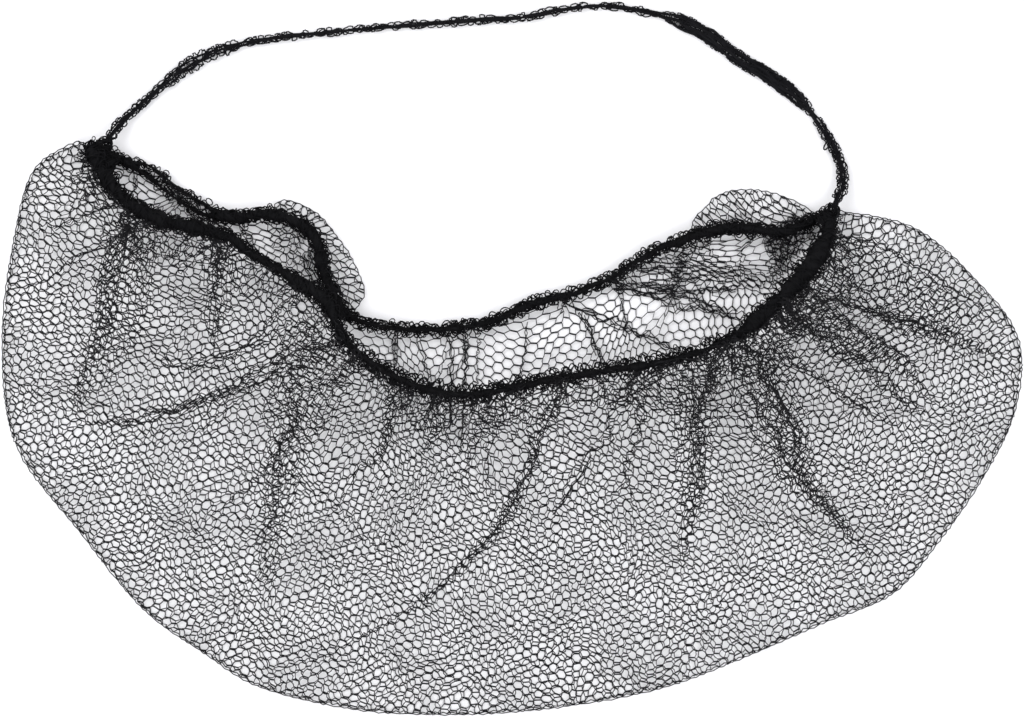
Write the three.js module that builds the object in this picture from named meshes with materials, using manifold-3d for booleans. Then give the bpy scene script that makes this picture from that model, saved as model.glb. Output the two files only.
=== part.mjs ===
// A disposable beard net, lying on a flat surface as it comes out of its packet.
//
// The net is one pouch of knitted mesh that folds under all round its lower edge, so it
// lies in two layers: a front layer that puffs up and a back layer flat on the surface.
// Both layers end at the mouth, each gathered on an elastic rim. The two rims and the
// elastic head strap meet in a tie at either end of the mouth.
//
// Millimetres, +Z up. X runs along the mouth from the left tie to the right one, and Y
// from the pouch towards the strap. The origin is on the surface, under the middle of
// the pouch and its rims.

import * as THREE from "three";
import { ConvexGeometry } from "three/addons/geometries/ConvexGeometry.js";
import { mergeVertices } from "three/addons/utils/BufferGeometryUtils.js";
import Module from "manifold-3d";

const wasm = await Module();
wasm.setup();

// ---------------------------------------------------------------- driving sizes

const WALL = 1.2; // thickness of the pouch's wall
const GAP = 0.3; // clearance between pieces that touch
const FRONT_GAP = 0.75; // clearance of the front layer's edge from its rim, end on
const BACK_GAP = 1.4; // clearance of the back layer's middle from its rim, which lies on it
const FLOOR = WALL / 2; // height of the wall's middle where it lies on the surface
const FOLD_RISE = 2.2; // height of the wall's middle at the outer fold
const FOLD_TURN = 3.2; // how far in from the outer fold the wall turns over
const STRAP_DIAMETER = 2.8;
const TIE_SHARE = 0.085; // share of the mouth's length that the tie at either end covers

// The openings in the pouch's wall. The real net has some nine thousand of them, each
// 3.4 mm across; the wall has the same six-sided pattern, coarser.
const CELL_COLUMNS = 13;
const CELL_ROWS = 8;
const STEPS_PER_CELL = 6; // steps along the mouth in one cell
const STRAND_SHARE = 0.18; // how far a cell's opening is drawn in towards its middle
const POINT_SHARE = 0.2; // how far a cell's upper and lower points stand out of its row
const SHORTEST_PIERCED = 52; // a section shorter than this, from rim to rim, has no cells
const WHOLE_CELL = { row: 5, column: 6 }; // left whole, as the flat face to rest on
const HEADING = 0.055; // share of a section, next to each rim, that is gathered and whole
const RUFFLE = 0.7; // how far the gathers stand out of the heading, to either side

// ---------------------------------------------------------------- tables

// The pouch's sections, from the left tie to the right one. Each runs from the front rim
// over the front layer to the outer fold, and back under to the back rim.
//   fold   where the net turns under
//   front  centre of the front rim, with its height
//   back   centre of the back rim, with how far it is lifted off the net that it lies on
//   crown  height of the front layer's highest point
//   lobe   how far the back layer bulges out behind the back rim
const SECTIONS = [
  { fold: [-131.5, 86], front: [-126, 83, 7], back: [-124, 82, 0], crown: 7, lobe: 0 },
  { fold: [-141, 76], front: [-123.5, 79, 8], back: [-120, 80.5, 0], crown: 12, lobe: 0 },
  { fold: [-148, 52], front: [-121, 75, 9], back: [-116, 79, 0], crown: 16, lobe: 0 },
  { fold: [-151, 22], front: [-118, 70, 11], back: [-111, 76.5, 0], crown: 18, lobe: 0 },
  { fold: [-147, -6], front: [-113, 65, 12], back: [-105, 73, 0], crown: 19, lobe: 0 },
  { fold: [-128, -32], front: [-102, 60, 13], back: [-96, 66, 0], crown: 20, lobe: 0 },
  { fold: [-108, -56], front: [-86, 56, 14], back: [-84, 61, 0.5], crown: 20, lobe: 1 },
  { fold: [-91, -68], front: [-74, 49, 14], back: [-71, 62, 2.4], crown: 21, lobe: 4 },
  { fold: [-79, -76], front: [-63, 42, 15], back: [-60, 57, 3], crown: 22, lobe: 7 },
  { fold: [-70, -79.5], front: [-55, 36, 15], back: [-54.5, 42, 2], crown: 22, lobe: 8 },
  { fold: [-60, -82], front: [-49, 26, 15], back: [-50, 33, 2], crown: 22, lobe: 2 },
  { fold: [-43, -85], front: [-38, 16, 16], back: [-39, 29, 1], crown: 22, lobe: 0 },
  { fold: [-24, -86], front: [-21, 9, 17], back: [-26, 28, 0], crown: 23, lobe: 0 },
  { fold: [-3, -85.5], front: [-4, 10, 17], back: [-11, 29, 0], crown: 24, lobe: 0 },
  { fold: [20, -83], front: [16, 14, 16], back: [5, 35, 0], crown: 24, lobe: 0 },
  { fold: [45, -78], front: [36, 17, 16], back: [23, 40, 0], crown: 24, lobe: 0 },
  { fold: [69, -69], front: [54, 21, 17], back: [39, 49, 0.5], crown: 25, lobe: 1 },
  { fold: [92, -59], front: [65, 26, 18], back: [52, 55, 2], crown: 26, lobe: 6 },
  { fold: [113, -50], front: [72, 31, 18], back: [63, 58, 3], crown: 26, lobe: 9 },
  { fold: [127, -34], front: [78, 36, 18], back: [72, 57.5, 3], crown: 25, lobe: 11 },
  { fold: [140, -15], front: [83, 41, 17], back: [79, 57, 2], crown: 24, lobe: 9 },
  { fold: [149, 4], front: [88, 46, 15], back: [84, 58, 2.3], crown: 22, lobe: 5 },
  { fold: [150, 25], front: [91, 51, 13], back: [88, 60, 0.8], crown: 20, lobe: 1 },
  { fold: [137, 43], front: [93, 55, 11], back: [91, 61.5, 0], crown: 16, lobe: 0 },
  { fold: [119, 58], front: [94.2, 58.5, 9], back: [92.4, 62.2, 0], crown: 12, lobe: 0 },
  { fold: [104, 66], front: [95, 61.5, 7], back: [93.6, 63, 0], crown: 7, lobe: 0 },
];

// The pleats that run down from the front rim, each a leaf that narrows to a point.
//   at     place along the mouth, from 0 at the left tie to 1 at the right one
//   reach  share of the way from the rim to the outer fold that it runs
//   width  its width at the widest
//   rise   how far it stands up
const PLEATS = [
  { at: 0.2, reach: 0.75, width: 15, rise: 4 },
  { at: 0.3, reach: 0.4, width: 10, rise: 3.5 },
  { at: 0.42, reach: 0.75, width: 18, rise: 5 },
  { at: 0.59, reach: 0.9, width: 9, rise: 3.5 },
  { at: 0.655, reach: 0.55, width: 10, rise: 3.5 },
  { at: 0.705, reach: 0.7, width: 14, rise: 5 },
  { at: 0.775, reach: 0.8, width: 13, rise: 5 },
  { at: 0.84, reach: 0.7, width: 13, rise: 4 },
  { at: 0.92, reach: 0.85, width: 16, rise: 4 },
];

// The thickness of each rim along the mouth, as radii at equal steps from left to right.
const FRONT_RIM_RADII = [3, 2.7, 2.5, 2.2, 2.9, 2.2, 1.9, 1.8, 1.9, 2.2, 3.2, 3.3, 3];
const BACK_RIM_RADII = [1.4, 1.5, 1.5, 2, 2.1, 1.8, 1.6, 1.7, 1.6, 1.9, 2, 1.9, 1.8];

// The lump that the head strap's end makes in each tie.
const STRAP_LUMPS = {
  left: { centre: [-120.6, 82.6, 5.4], radius: 2.9 },
  right: { centre: [94.8, 63.4, 5.4], radius: 2.9 },
};

// The head strap's route, from the left tie round to the right one.
const STRAP_ROUTE = [
  [-119.9, 83.6, 5],
  [-118.2, 86.4, 4],
  [-114.9, 90.3, 2.3],
  [-109, 95.6, 1.5],
  [-101.5, 102.2, 1.5],
  [-94, 107.4, 1.5],
  [-84, 111.6, 1.5],
  [-69, 114.6, 1.5],
  [-53, 116.3, 1.5],
  [-32, 118.1, 1.5],
  [-10, 119.8, 1.5],
  [4, 120.7, 1.5],
  [15, 122.8, 1.5],
  [26, 124, 1.5],
  [37, 122.8, 1.5],
  [49, 119.8, 1.5],
  [58, 115.2, 1.5],
  [67, 108.6, 1.5],
  [77, 102.6, 1.5],
  [86, 95.4, 1.5],
  [92.5, 87, 1.5],
  [96.8, 79, 1.6],
  [98, 73.5, 2.2],
  [97.4, 69, 3.6],
  [95.6, 64.9, 5],
];

// ---------------------------------------------------------------- lines along the mouth

const point = (x, y, z) => new THREE.Vector3(x, y, z);
const lerp = THREE.MathUtils.lerp;

// A radius read from a table of equal steps, smoothed between its values.
function radiusFrom(table, place) {
  const step = place * (table.length - 1);
  const before = Math.min(Math.floor(step), table.length - 2);
  return lerp(table[before], table[before + 1], THREE.MathUtils.smoothstep(step - before, 0, 1));
}
const frontRadius = (place) => radiusFrom(FRONT_RIM_RADII, place);
const backRadius = (place) => radiusFrom(BACK_RIM_RADII, place);

// A smooth line through one column of the sections.
const lineOf = (read) => new THREE.CatmullRomCurve3(SECTIONS.map(read), false, "centripetal");
const foldLine = lineOf((s) => point(...s.fold, FOLD_RISE));
const frontRimLine = lineOf((s) => point(...s.front));
const backRimLine = lineOf(({ back: [x, y, lift] }, row) => {
  const lying = WALL + GAP + backRadius(row / (SECTIONS.length - 1));
  return point(x, y, lying + lift);
});
const puffLine = lineOf((s) => point(s.crown, s.lobe, 0));

// Equal shares along the mouth are equal lengths of net at the outer fold. This gives
// the place in the tables of sections for a share along the mouth.
const placeAt = (along) => foldLine.getUtoTmapping(along);

// ---------------------------------------------------------------- the pouch's surface

// The point at a distance from a rim's middle line, on the side that a direction points to.
function besideRim(line, place, distance, direction) {
  const side = direction.clone().projectOnPlane(line.getTangent(place)).normalize();
  return line.getPoint(place).addScaledVector(side, distance);
}

// The middle of the wall along one section, as a curve from the front rim over the front
// layer to the outer fold, which is the curve's middle point, and back under to the back rim.
function sectionCurve(place) {
  const fold = foldLine.getPoint(place);
  const { x: crown, y: lobe } = puffLine.getPoint(place);

  const forward = fold.clone().sub(frontRimLine.getPoint(place)).setZ(0);
  const frontEnd = besideRim(frontRimLine, place, frontRadius(place) + FRONT_GAP, forward);
  const over = (share, height) => frontEnd.clone().lerp(fold, share).setZ(height);
  const reach = frontEnd.distanceTo(fold);
  const turn = Math.min(FOLD_TURN, 0.2 * reach);

  const back = backRimLine.getPoint(place);
  const rearward = back.clone().sub(fold).setZ(0);
  const depth = rearward.length();
  rearward.normalize();
  const under = (distance, height) => fold.clone().addScaledVector(rearward, distance).setZ(height);
  // the back layer ends under its rim, or where it bulges out, behind it
  const behind = THREE.MathUtils.smoothstep(lobe, 0.5, 4);
  const { x, y } = backRimLine.getTangent(place);
  const away = point(-y, x, 0).normalize();
  const bulge = (share, height) => back.clone().addScaledVector(away, share * lobe).setZ(height);
  const side = point(0, 0, -1).lerp(away.clone().setZ(-0.2), behind);
  const backEnd = besideRim(backRimLine, place, backRadius(place) + BACK_GAP, side);

  return new THREE.CatmullRomCurve3(
    [
      frontEnd,
      over(0.12, lerp(frontEnd.z, crown, 0.7)),
      over(0.34, crown),
      over(0.7, 0.72 * crown),
      over(1 - turn / reach, FOLD_RISE + 0.12 * crown),
      fold,
      under(turn, FLOOR),
      under(0.5 * depth, FLOOR),
      under(depth - 5, FLOOR).lerp(bulge(0.6, FLOOR), behind),
      under(depth - 2, FLOOR).lerp(bulge(1, (FLOOR + backEnd.z) / 2), behind),
      backEnd,
    ],
    false,
    "centripetal",
  );
}

// How far the pleats lift the front layer at a place.
function pleatRise(along, across) {
  const mouthLength = lerp(frontRimLine.getLength(), foldLine.getLength(), 2 * across);
  let rise = 0;
  for (const pleat of PLEATS) {
    const left = 1 - (2 * across) / pleat.reach; // 1 at the rim, 0 at the pleat's point
    if (left <= 0) continue;
    const off = ((along - pleat.at) * mouthLength) / (0.5 * pleat.width * Math.sqrt(left));
    rise += pleat.rise * Math.sqrt(left) * Math.exp(-off * off);
  }
  return rise;
}

// The middle of the wall, at a share of the way along the mouth and across a section.
// The outer fold is half of the way across.
const curves = new Map();
function wallPoint([along, across]) {
  if (!curves.has(along)) curves.set(along, sectionCurve(placeAt(along)));
  const curve = curves.get(along);
  const lengths = curve.getLengths();
  const toFold = lengths[(lengths.length - 1) / 2] / lengths.at(-1);
  const at = curve.getPointAt(
    across < 0.5 ? 2 * across * toFold : lerp(toFold, 1, 2 * across - 1),
  );
  const clearOfRim = Math.min(1, across / HEADING);
  at.z += clearOfRim * pleatRise(along, across);
  at.z = Math.max(at.z, FLOOR);
  return at;
}

// ---------------------------------------------------------------- the pouch's solid

// The net's pattern as corners, in shares along the mouth and across a section, with
// four-sided faces between them. Each cell is a ring of faces round its opening.
function netPattern() {
  const columns = CELL_COLUMNS * STEPS_PER_CELL;
  const half = STEPS_PER_CELL / 2;
  const corners = [];
  const faces = [];
  const corner = (along, across) => corners.push([along, across]) - 1;

  // A line of corners along the mouth, straight or with the points of the cells on it.
  const line = (across, shift = null) =>
    Array.from({ length: columns + 1 }, (_, step) => {
      const swing = shift === null ? 0 : Math.cos((Math.PI * (step - shift)) / half);
      return corner(step / columns, across + POINT_SHARE * rowHeight * swing);
    });
  const strip = (upper, lower, from = 0, to = columns) => {
    for (let i = from; i < to; i++) faces.push([upper[i], lower[i], lower[i + 1], upper[i + 1]]);
  };
  const ring = (upper, lower, from, across) => {
    const outer = [
      ...upper.slice(from, from + STEPS_PER_CELL + 1),
      ...lower.slice(from, from + STEPS_PER_CELL + 1).reverse(),
    ];
    const middle = [(from + half) / columns, across];
    const inner = outer.map((c) =>
      corner(...corners[c].map((share, axis) => lerp(share, middle[axis], STRAND_SHARE))),
    );
    outer.forEach((c, k) => {
      const next = (k + 1) % outer.length;
      faces.push([c, inner[k], inner[next], outer[next]]);
    });
  };

  const rowHeight = (1 - 2 * HEADING) / CELL_ROWS;
  const borders = Array.from({ length: CELL_ROWS + 1 }, (_, row) => {
    const straight = row % (CELL_ROWS / 2) === 0; // at the headings and along the outer fold
    return line(HEADING + row * rowHeight, straight ? null : half * (row % 2));
  });
  const headings = [
    [line(0), line(HEADING / 2), borders[0]],
    [borders[CELL_ROWS], line(1 - HEADING / 2), line(1)],
  ];
  for (const [first, gathers, last] of headings) {
    strip(first, gathers);
    strip(gathers, last);
  }

  for (let row = 0; row < CELL_ROWS; row++) {
    const [upper, lower] = [borders[row], borders[row + 1]];
    const first = half * (row % 2);
    let column = 0;
    for (let from = first; from + STEPS_PER_CELL <= columns; from += STEPS_PER_CELL) {
      const length = sectionCurve(placeAt((from + half) / columns)).getLength();
      const resting = row === WHOLE_CELL.row && column === WHOLE_CELL.column;
      if (length < SHORTEST_PIERCED || resting) strip(upper, lower, from, from + STEPS_PER_CELL);
      else ring(upper, lower, from, HEADING + (row + 0.5) * rowHeight);
      column++;
    }
    strip(upper, lower, 0, first);
    strip(upper, lower, columns - first, columns);
  }
  return { corners, faces };
}

// A closed solid from a pattern of faces in space: thickened to both sides of its middle,
// with a wall along every free edge, round each opening too.
function thickened(points, faces, shiftOf) {
  const normals = points.map(() => point(0, 0, 0));
  for (const face of faces) {
    const [a, b, c, d] = face.map((k) => points[k]);
    const normal = c.clone().sub(a).cross(d.clone().sub(b));
    for (const k of face) normals[k].add(normal);
  }

  const positions = [];
  for (const side of [WALL / 2, -WALL / 2]) {
    points.forEach((p, k) => {
      const moved = p.clone().addScaledVector(normals[k].normalize(), side + shiftOf(k));
      positions.push(moved.x, moved.y, Math.max(moved.z, 0));
    });
  }

  const triangles = [];
  const quad = (a, b, c, d) => triangles.push(a, b, c, a, c, d);
  const underside = points.length;
  const freeEdges = new Map();
  for (const [a, b, c, d] of faces) {
    quad(a, b, c, d);
    quad(d + underside, c + underside, b + underside, a + underside);
    for (const [from, to] of [[a, b], [b, c], [c, d], [d, a]]) {
      if (!freeEdges.delete(`${to} ${from}`)) freeEdges.set(`${from} ${to}`, [from, to]);
    }
  }
  for (const [from, to] of freeEdges.values()) quad(to, from, from + underside, to + underside);
  return meshOf(positions, triangles);
}

function meshOf(positions, triangles) {
  const geometry = new THREE.BufferGeometry();
  geometry.setAttribute("position", new THREE.Float32BufferAttribute(positions, 3));
  geometry.setIndex(triangles);
  geometry.computeVertexNormals();
  return geometry;
}

function pouch() {
  const { corners, faces } = netPattern();
  const points = corners.map(wallPoint);
  // the gathers: every other corner along the middle of a heading stands in or out
  const ruffle = (k) => {
    const [along, across] = corners[k];
    const fromRim = Math.min(across, 1 - across);
    const onHeading = fromRim > 0 && fromRim < HEADING && points[k].z > FLOOR + RUFFLE;
    if (!onHeading) return 0;
    return Math.round(along * CELL_COLUMNS * STEPS_PER_CELL) % 2 ? RUFFLE : -RUFFLE;
  };
  return thickened(points, faces, ruffle);
}

// ---------------------------------------------------------------- rims, ties and strap

const RIM_STEPS = 34;
const RIM_SIDES = 8;
const STRAP_STEPS = 36;
const STRAP_SIDES = 8;

// The corners of a rim's section at a place along its line.
function rimRing(line, place, radius) {
  const tangent = line.getTangent(place);
  const across = point(0, 0, 1).cross(tangent).normalize();
  const up = tangent.clone().cross(across);
  return Array.from({ length: RIM_SIDES }, (_, k) => {
    const turn = (2 * Math.PI * (k + 0.5)) / RIM_SIDES;
    const centre = line.getPoint(place).addScaledVector(across, radius * Math.cos(turn));
    return centre.addScaledVector(up, radius * Math.sin(turn));
  });
}

// A rim: a closed tube along its line, from inside one tie to inside the other.
function rim(line, radiusAt) {
  const rings = Array.from({ length: RIM_STEPS + 1 }, (_, step) => {
    const place = lerp(TIE_SHARE / 3, 1 - TIE_SHARE / 3, step / RIM_STEPS);
    return rimRing(line, place, radiusAt(place));
  });
  const triangles = [];
  for (let step = 0; step < RIM_STEPS; step++) {
    for (let k = 0; k < RIM_SIDES; k++) {
      const [a, b] = [step * RIM_SIDES + k, step * RIM_SIDES + ((k + 1) % RIM_SIDES)];
      triangles.push(a, b, b + RIM_SIDES, a, b + RIM_SIDES, a + RIM_SIDES);
    }
  }
  const last = RIM_STEPS * RIM_SIDES;
  for (let k = 1; k < RIM_SIDES - 1; k++) {
    triangles.push(0, k + 1, k, last, last + k, last + k + 1);
  }
  return meshOf(rings.flat().flatMap((p) => p.toArray()), triangles);
}

// A tie: the outer form of the gathered stretch where both rims and the strap's end meet,
// drawn larger all round by a clearance where it is used to cut its neighbours.
function tie(from, to, lump, clearance = 0) {
  const strapEnd = new THREE.IcosahedronGeometry(lump.radius + clearance, 1);
  const { array } = strapEnd.translate(...lump.centre).getAttribute("position");
  const lumpPoints = Array.from({ length: array.length / 3 }, (_, k) =>
    point(...array.slice(3 * k, 3 * k + 3)),
  );
  const inward = clearance / backRimLine.getLength();
  const places = [Math.max(from - inward, 0), (from + to) / 2, Math.min(to + inward, 1)];
  const rimPoints = places.flatMap((place) => [
    ...rimRing(frontRimLine, place, frontRadius(place) + clearance),
    ...rimRing(backRimLine, place, backRadius(place) + clearance),
  ]);
  return new ConvexGeometry([...rimPoints, ...lumpPoints]);
}

function headStrap() {
  const section = new THREE.Shape().absarc(0, 0, STRAP_DIAMETER / 2, 0, 2 * Math.PI);
  return new THREE.ExtrudeGeometry(section, {
    steps: STRAP_STEPS,
    curveSegments: STRAP_SIDES / 2,
    bevelEnabled: false,
    extrudePath: new THREE.CatmullRomCurve3(STRAP_ROUTE.map((p) => point(...p))),
  });
}

// ---------------------------------------------------------------- cuts

// A closed mesh as a solid that can be cut, and back again.
function solidOf(geometry) {
  const bare = new THREE.BufferGeometry();
  bare.setAttribute("position", geometry.getAttribute("position"));
  bare.setIndex(geometry.getIndex());
  const merged = mergeVertices(bare, 1e-4);
  const vertProperties = new Float32Array(merged.getAttribute("position").array);
  const triVerts = new Uint32Array(merged.getIndex().array);
  return new wasm.Manifold(new wasm.Mesh({ numProp: 3, vertProperties, triVerts }));
}

// A piece with room cut out of it for both ties. What is left inside a tie is dropped.
function clearOfTies(geometry) {
  const cut = solidOf(geometry).subtract(tieRooms.left).subtract(tieRooms.right);
  const [largest] = cut.decompose().sort((a, b) => b.volume() - a.volume());
  const { vertProperties, triVerts } = largest.getMesh();
  return meshOf(vertProperties, [...triVerts]);
}

const tieRooms = {
  left: solidOf(tie(0, TIE_SHARE, STRAP_LUMPS.left, GAP)),
  right: solidOf(tie(1 - TIE_SHARE, 1, STRAP_LUMPS.right, GAP)),
};

// ---------------------------------------------------------------- the assembly

const netting = new THREE.MeshStandardMaterial({ color: 0x141416, roughness: 0.6 });
const gatheredEdge = new THREE.MeshStandardMaterial({ color: 0x0f0f11, roughness: 0.8 });
const elasticStrap = new THREE.MeshStandardMaterial({ color: 0x121213, roughness: 0.75 });

function piece(name, geometry, material) {
  const mesh = new THREE.Mesh(geometry, material);
  mesh.name = name;
  return mesh;
}

const mouth = new THREE.Group();
mouth.add(
  piece("front_rim", clearOfTies(rim(frontRimLine, frontRadius)), gatheredEdge),
  piece("back_rim", clearOfTies(rim(backRimLine, backRadius)), gatheredEdge),
  piece("left_tie", tie(0, TIE_SHARE, STRAP_LUMPS.left), gatheredEdge),
  piece("right_tie", tie(1 - TIE_SHARE, 1, STRAP_LUMPS.right), gatheredEdge),
);

const beardNet = new THREE.Group();
beardNet.add(
  piece("net_pouch", clearOfTies(pouch()), netting),
  mouth,
  piece("head_strap", clearOfTies(headStrap()), elasticStrap),
);

export default beardNet;
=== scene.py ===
# %% [markdown]
# # A disposable beard net
#
# The real thing weighs two grams: a pouch of black nylon thread knitted into a honeycomb,
# gathered on an elastic rim in front and another behind, with both rims and a looped
# elastic strap tied together at either end. It lies as it came out of its packet.
#
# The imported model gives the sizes. Everything here is built around it, in metres, and
# each piece takes the place of the plain solid that stood for it.

import math

import bpy
import numpy as np
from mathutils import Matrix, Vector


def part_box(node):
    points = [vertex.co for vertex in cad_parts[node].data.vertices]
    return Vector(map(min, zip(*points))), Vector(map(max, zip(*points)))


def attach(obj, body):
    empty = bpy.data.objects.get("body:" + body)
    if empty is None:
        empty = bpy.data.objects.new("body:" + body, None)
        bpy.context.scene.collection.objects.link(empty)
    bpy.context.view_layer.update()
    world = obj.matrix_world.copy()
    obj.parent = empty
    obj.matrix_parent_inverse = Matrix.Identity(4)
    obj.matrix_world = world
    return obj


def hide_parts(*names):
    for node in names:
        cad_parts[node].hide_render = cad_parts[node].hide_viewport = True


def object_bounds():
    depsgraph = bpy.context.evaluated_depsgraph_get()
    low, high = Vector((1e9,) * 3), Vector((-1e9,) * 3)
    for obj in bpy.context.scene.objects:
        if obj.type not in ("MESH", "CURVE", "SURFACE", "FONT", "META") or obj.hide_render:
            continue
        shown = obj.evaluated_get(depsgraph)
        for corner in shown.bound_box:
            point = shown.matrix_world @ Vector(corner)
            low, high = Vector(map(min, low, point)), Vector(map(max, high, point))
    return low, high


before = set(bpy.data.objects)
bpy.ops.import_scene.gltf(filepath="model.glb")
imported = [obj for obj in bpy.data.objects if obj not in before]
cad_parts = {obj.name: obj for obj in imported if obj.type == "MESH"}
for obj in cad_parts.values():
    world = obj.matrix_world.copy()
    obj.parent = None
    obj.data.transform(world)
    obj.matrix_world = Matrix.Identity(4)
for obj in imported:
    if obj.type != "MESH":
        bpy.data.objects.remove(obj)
CAD_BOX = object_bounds()
MM = 0.001
print("solids:", ", ".join(sorted(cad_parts)))
print("box:", [[round(side / MM, 1) for side in corner] for corner in CAD_BOX], "mm")

# %% [markdown]
# ## Camera, light and surface
#
# A net is nearly flat and it is all outline, so it is looked at from straight above,
# from far enough away that the puffed front layer isn't drawn much larger than the
# back one. The lens follows from the distance and the width of the net, so the picture
# is right again if the model changes.
#
# Thin black thread on white needs a very soft light. A pale sky gives most of it, and a
# wide lamp on each side keeps a little form in the thick rims.

# %% Camera
CAMERA_HEIGHT = 1.5
EDGE_ROOM = 0.9 * MM  # what is seen beyond the net's two ends, taken together
VIEW_WIDTH = (CAD_BOX[1][0] - CAD_BOX[0][0]) + EDGE_ROOM

camera = bpy.data.objects.new("camera", bpy.data.cameras.new("camera"))
bpy.context.scene.collection.objects.link(camera)
camera.location = (
    (CAD_BOX[0][0] + CAD_BOX[1][0]) / 2,
    (CAD_BOX[0][1] + CAD_BOX[1][1]) / 2,
    CAMERA_HEIGHT,
)
camera.data.lens = camera.data.sensor_width * CAMERA_HEIGHT / VIEW_WIDTH
camera.data.clip_end = 10
bpy.context.scene.camera = camera
bpy.context.scene.view_settings.view_transform = "Standard"
print("camera", round(CAMERA_HEIGHT, 2), "m up, lens", round(camera.data.lens, 1), "mm")

# %% Sky and lamps
sky = bpy.data.worlds.new("pale sky")
sky.use_nodes = True
background = sky.node_tree.nodes["Background"]
background.inputs["Color"].default_value = (0.975, 0.975, 1.0, 1)
background.inputs["Strength"].default_value = 1.03
bpy.context.scene.world = sky


def soft_lamp(name, place, width, power):
    """A square lamp that looks at the middle of the net."""
    lamp = bpy.data.objects.new(name, bpy.data.lights.new(name, "AREA"))
    bpy.context.scene.collection.objects.link(lamp)
    lamp.data.size = width
    lamp.data.energy = power
    lamp.location = place
    away = lamp.location.normalized()
    lamp.rotation_euler = away.to_track_quat("Z", "Y").to_euler()


soft_lamp("left_lamp", (-0.9, 0.5, 1.1), 1.0, 9)
soft_lamp("right_lamp", (0.9, -0.3, 1.2), 1.0, 7)

# %% [markdown]
# ## The lines that everything follows
#
# A net has no frame of its own. Three lines give its shape: the outer fold, where the
# pouch turns under, and the middle lines of the two rims. The tables repeat the model's
# own, so the thread lies where the solids are. A smooth line goes through each table:
# a centripetal Catmull-Rom line, which makes no loops between its points.

# %% The tables, in millimetres
# fold [x, y], front rim [x, y, z], back rim [x, y, lift], crown of the front layer, and
# how far the back layer bulges out behind its rim
SECTIONS = [
    ((-131.5, 86), (-126, 83, 7), (-124, 82, 0), 7, 0),
    ((-141, 76), (-123.5, 79, 8), (-120, 80.5, 0), 12, 0),
    ((-148, 52), (-121, 75, 9), (-116, 79, 0), 16, 0),
    ((-151, 22), (-118, 70, 11), (-111, 76.5, 0), 18, 0),
    ((-147, -6), (-113, 65, 12), (-105, 73, 0), 19, 0),
    ((-128, -32), (-102, 60, 13), (-96, 66, 0), 20, 0),
    ((-108, -56), (-86, 56, 14), (-84, 61, 0.5), 20, 1),
    ((-91, -68), (-74, 49, 14), (-71, 62, 2.4), 21, 4),
    ((-79, -76), (-63, 42, 15), (-60, 57, 3), 22, 7),
    ((-70, -79.5), (-55, 36, 15), (-54.5, 42, 2), 22, 8),
    ((-60, -82), (-49, 26, 15), (-50, 33, 2), 22, 2),
    ((-43, -85), (-38, 16, 16), (-39, 29, 1), 22, 0),
    ((-24, -86), (-21, 9, 17), (-26, 28, 0), 23, 0),
    ((-3, -85.5), (-4, 10, 17), (-11, 29, 0), 24, 0),
    ((20, -83), (16, 14, 16), (5, 35, 0), 24, 0),
    ((45, -78), (36, 17, 16), (23, 40, 0), 24, 0),
    ((69, -69), (54, 21, 17), (39, 49, 0.5), 25, 1),
    ((92, -59), (65, 26, 18), (52, 55, 2), 26, 6),
    ((113, -50), (72, 31, 18), (63, 58, 3), 26, 9),
    ((127, -34), (78, 36, 18), (72, 57.5, 3), 25, 11),
    ((140, -15), (83, 41, 17), (79, 57, 2), 24, 9),
    ((149, 4), (88, 46, 15), (84, 58, 2.3), 22, 5),
    ((150, 25), (91, 51, 13), (88, 60, 0.8), 20, 1),
    ((137, 43), (93, 55, 11), (91, 61.5, 0), 16, 0),
    ((119, 58), (94.2, 58.5, 9), (92.4, 62.2, 0), 12, 0),
    ((104, 66), (95, 61.5, 7), (93.6, 63, 0), 7, 0),
]
FRONT_RIM_RADII = [3, 2.7, 2.5, 2.2, 2.9, 2.2, 1.9, 1.8, 1.9, 2.2, 3.2, 3.3, 3]
BACK_RIM_RADII = [1.4, 1.5, 1.5, 2, 2.1, 1.8, 1.6, 1.7, 1.6, 1.9, 2, 1.9, 1.8]
WALL = 1.2  # the thickness of the solid pouch
GAP = 0.3  # between solids that touch
FLOOR = WALL / 2  # height of the wall's middle where it lies on the table
FOLD_RISE = 2.2  # height of the wall's middle at the outer fold
FOLD_TURN = 3.2  # how far in from the fold the wall turns over
TIE_SHARE = 0.085  # share of the mouth that the tie at either end covers
STRAP_ROUTE = [
    (-119.9, 83.6, 5), (-118.2, 86.4, 4), (-114.9, 90.3, 2.3), (-109, 95.6, 1.5),
    (-101.5, 102.2, 1.5), (-94, 107.4, 1.5), (-84, 111.6, 1.5), (-69, 114.6, 1.5),
    (-53, 116.3, 1.5), (-32, 118.1, 1.5), (-10, 119.8, 1.5), (4, 120.7, 1.5),
    (15, 122.8, 1.5), (26, 124, 1.5), (37, 122.8, 1.5), (49, 119.8, 1.5),
    (58, 115.2, 1.5), (67, 108.6, 1.5), (77, 102.6, 1.5), (86, 95.4, 1.5),
    (92.5, 87, 1.5), (96.8, 79, 1.6), (98, 73.5, 2.2), (97.4, 69, 3.6), (95.6, 64.9, 5),
]
print(len(SECTIONS), "sections of the pouch,", len(STRAP_ROUTE), "points of the strap")


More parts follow.
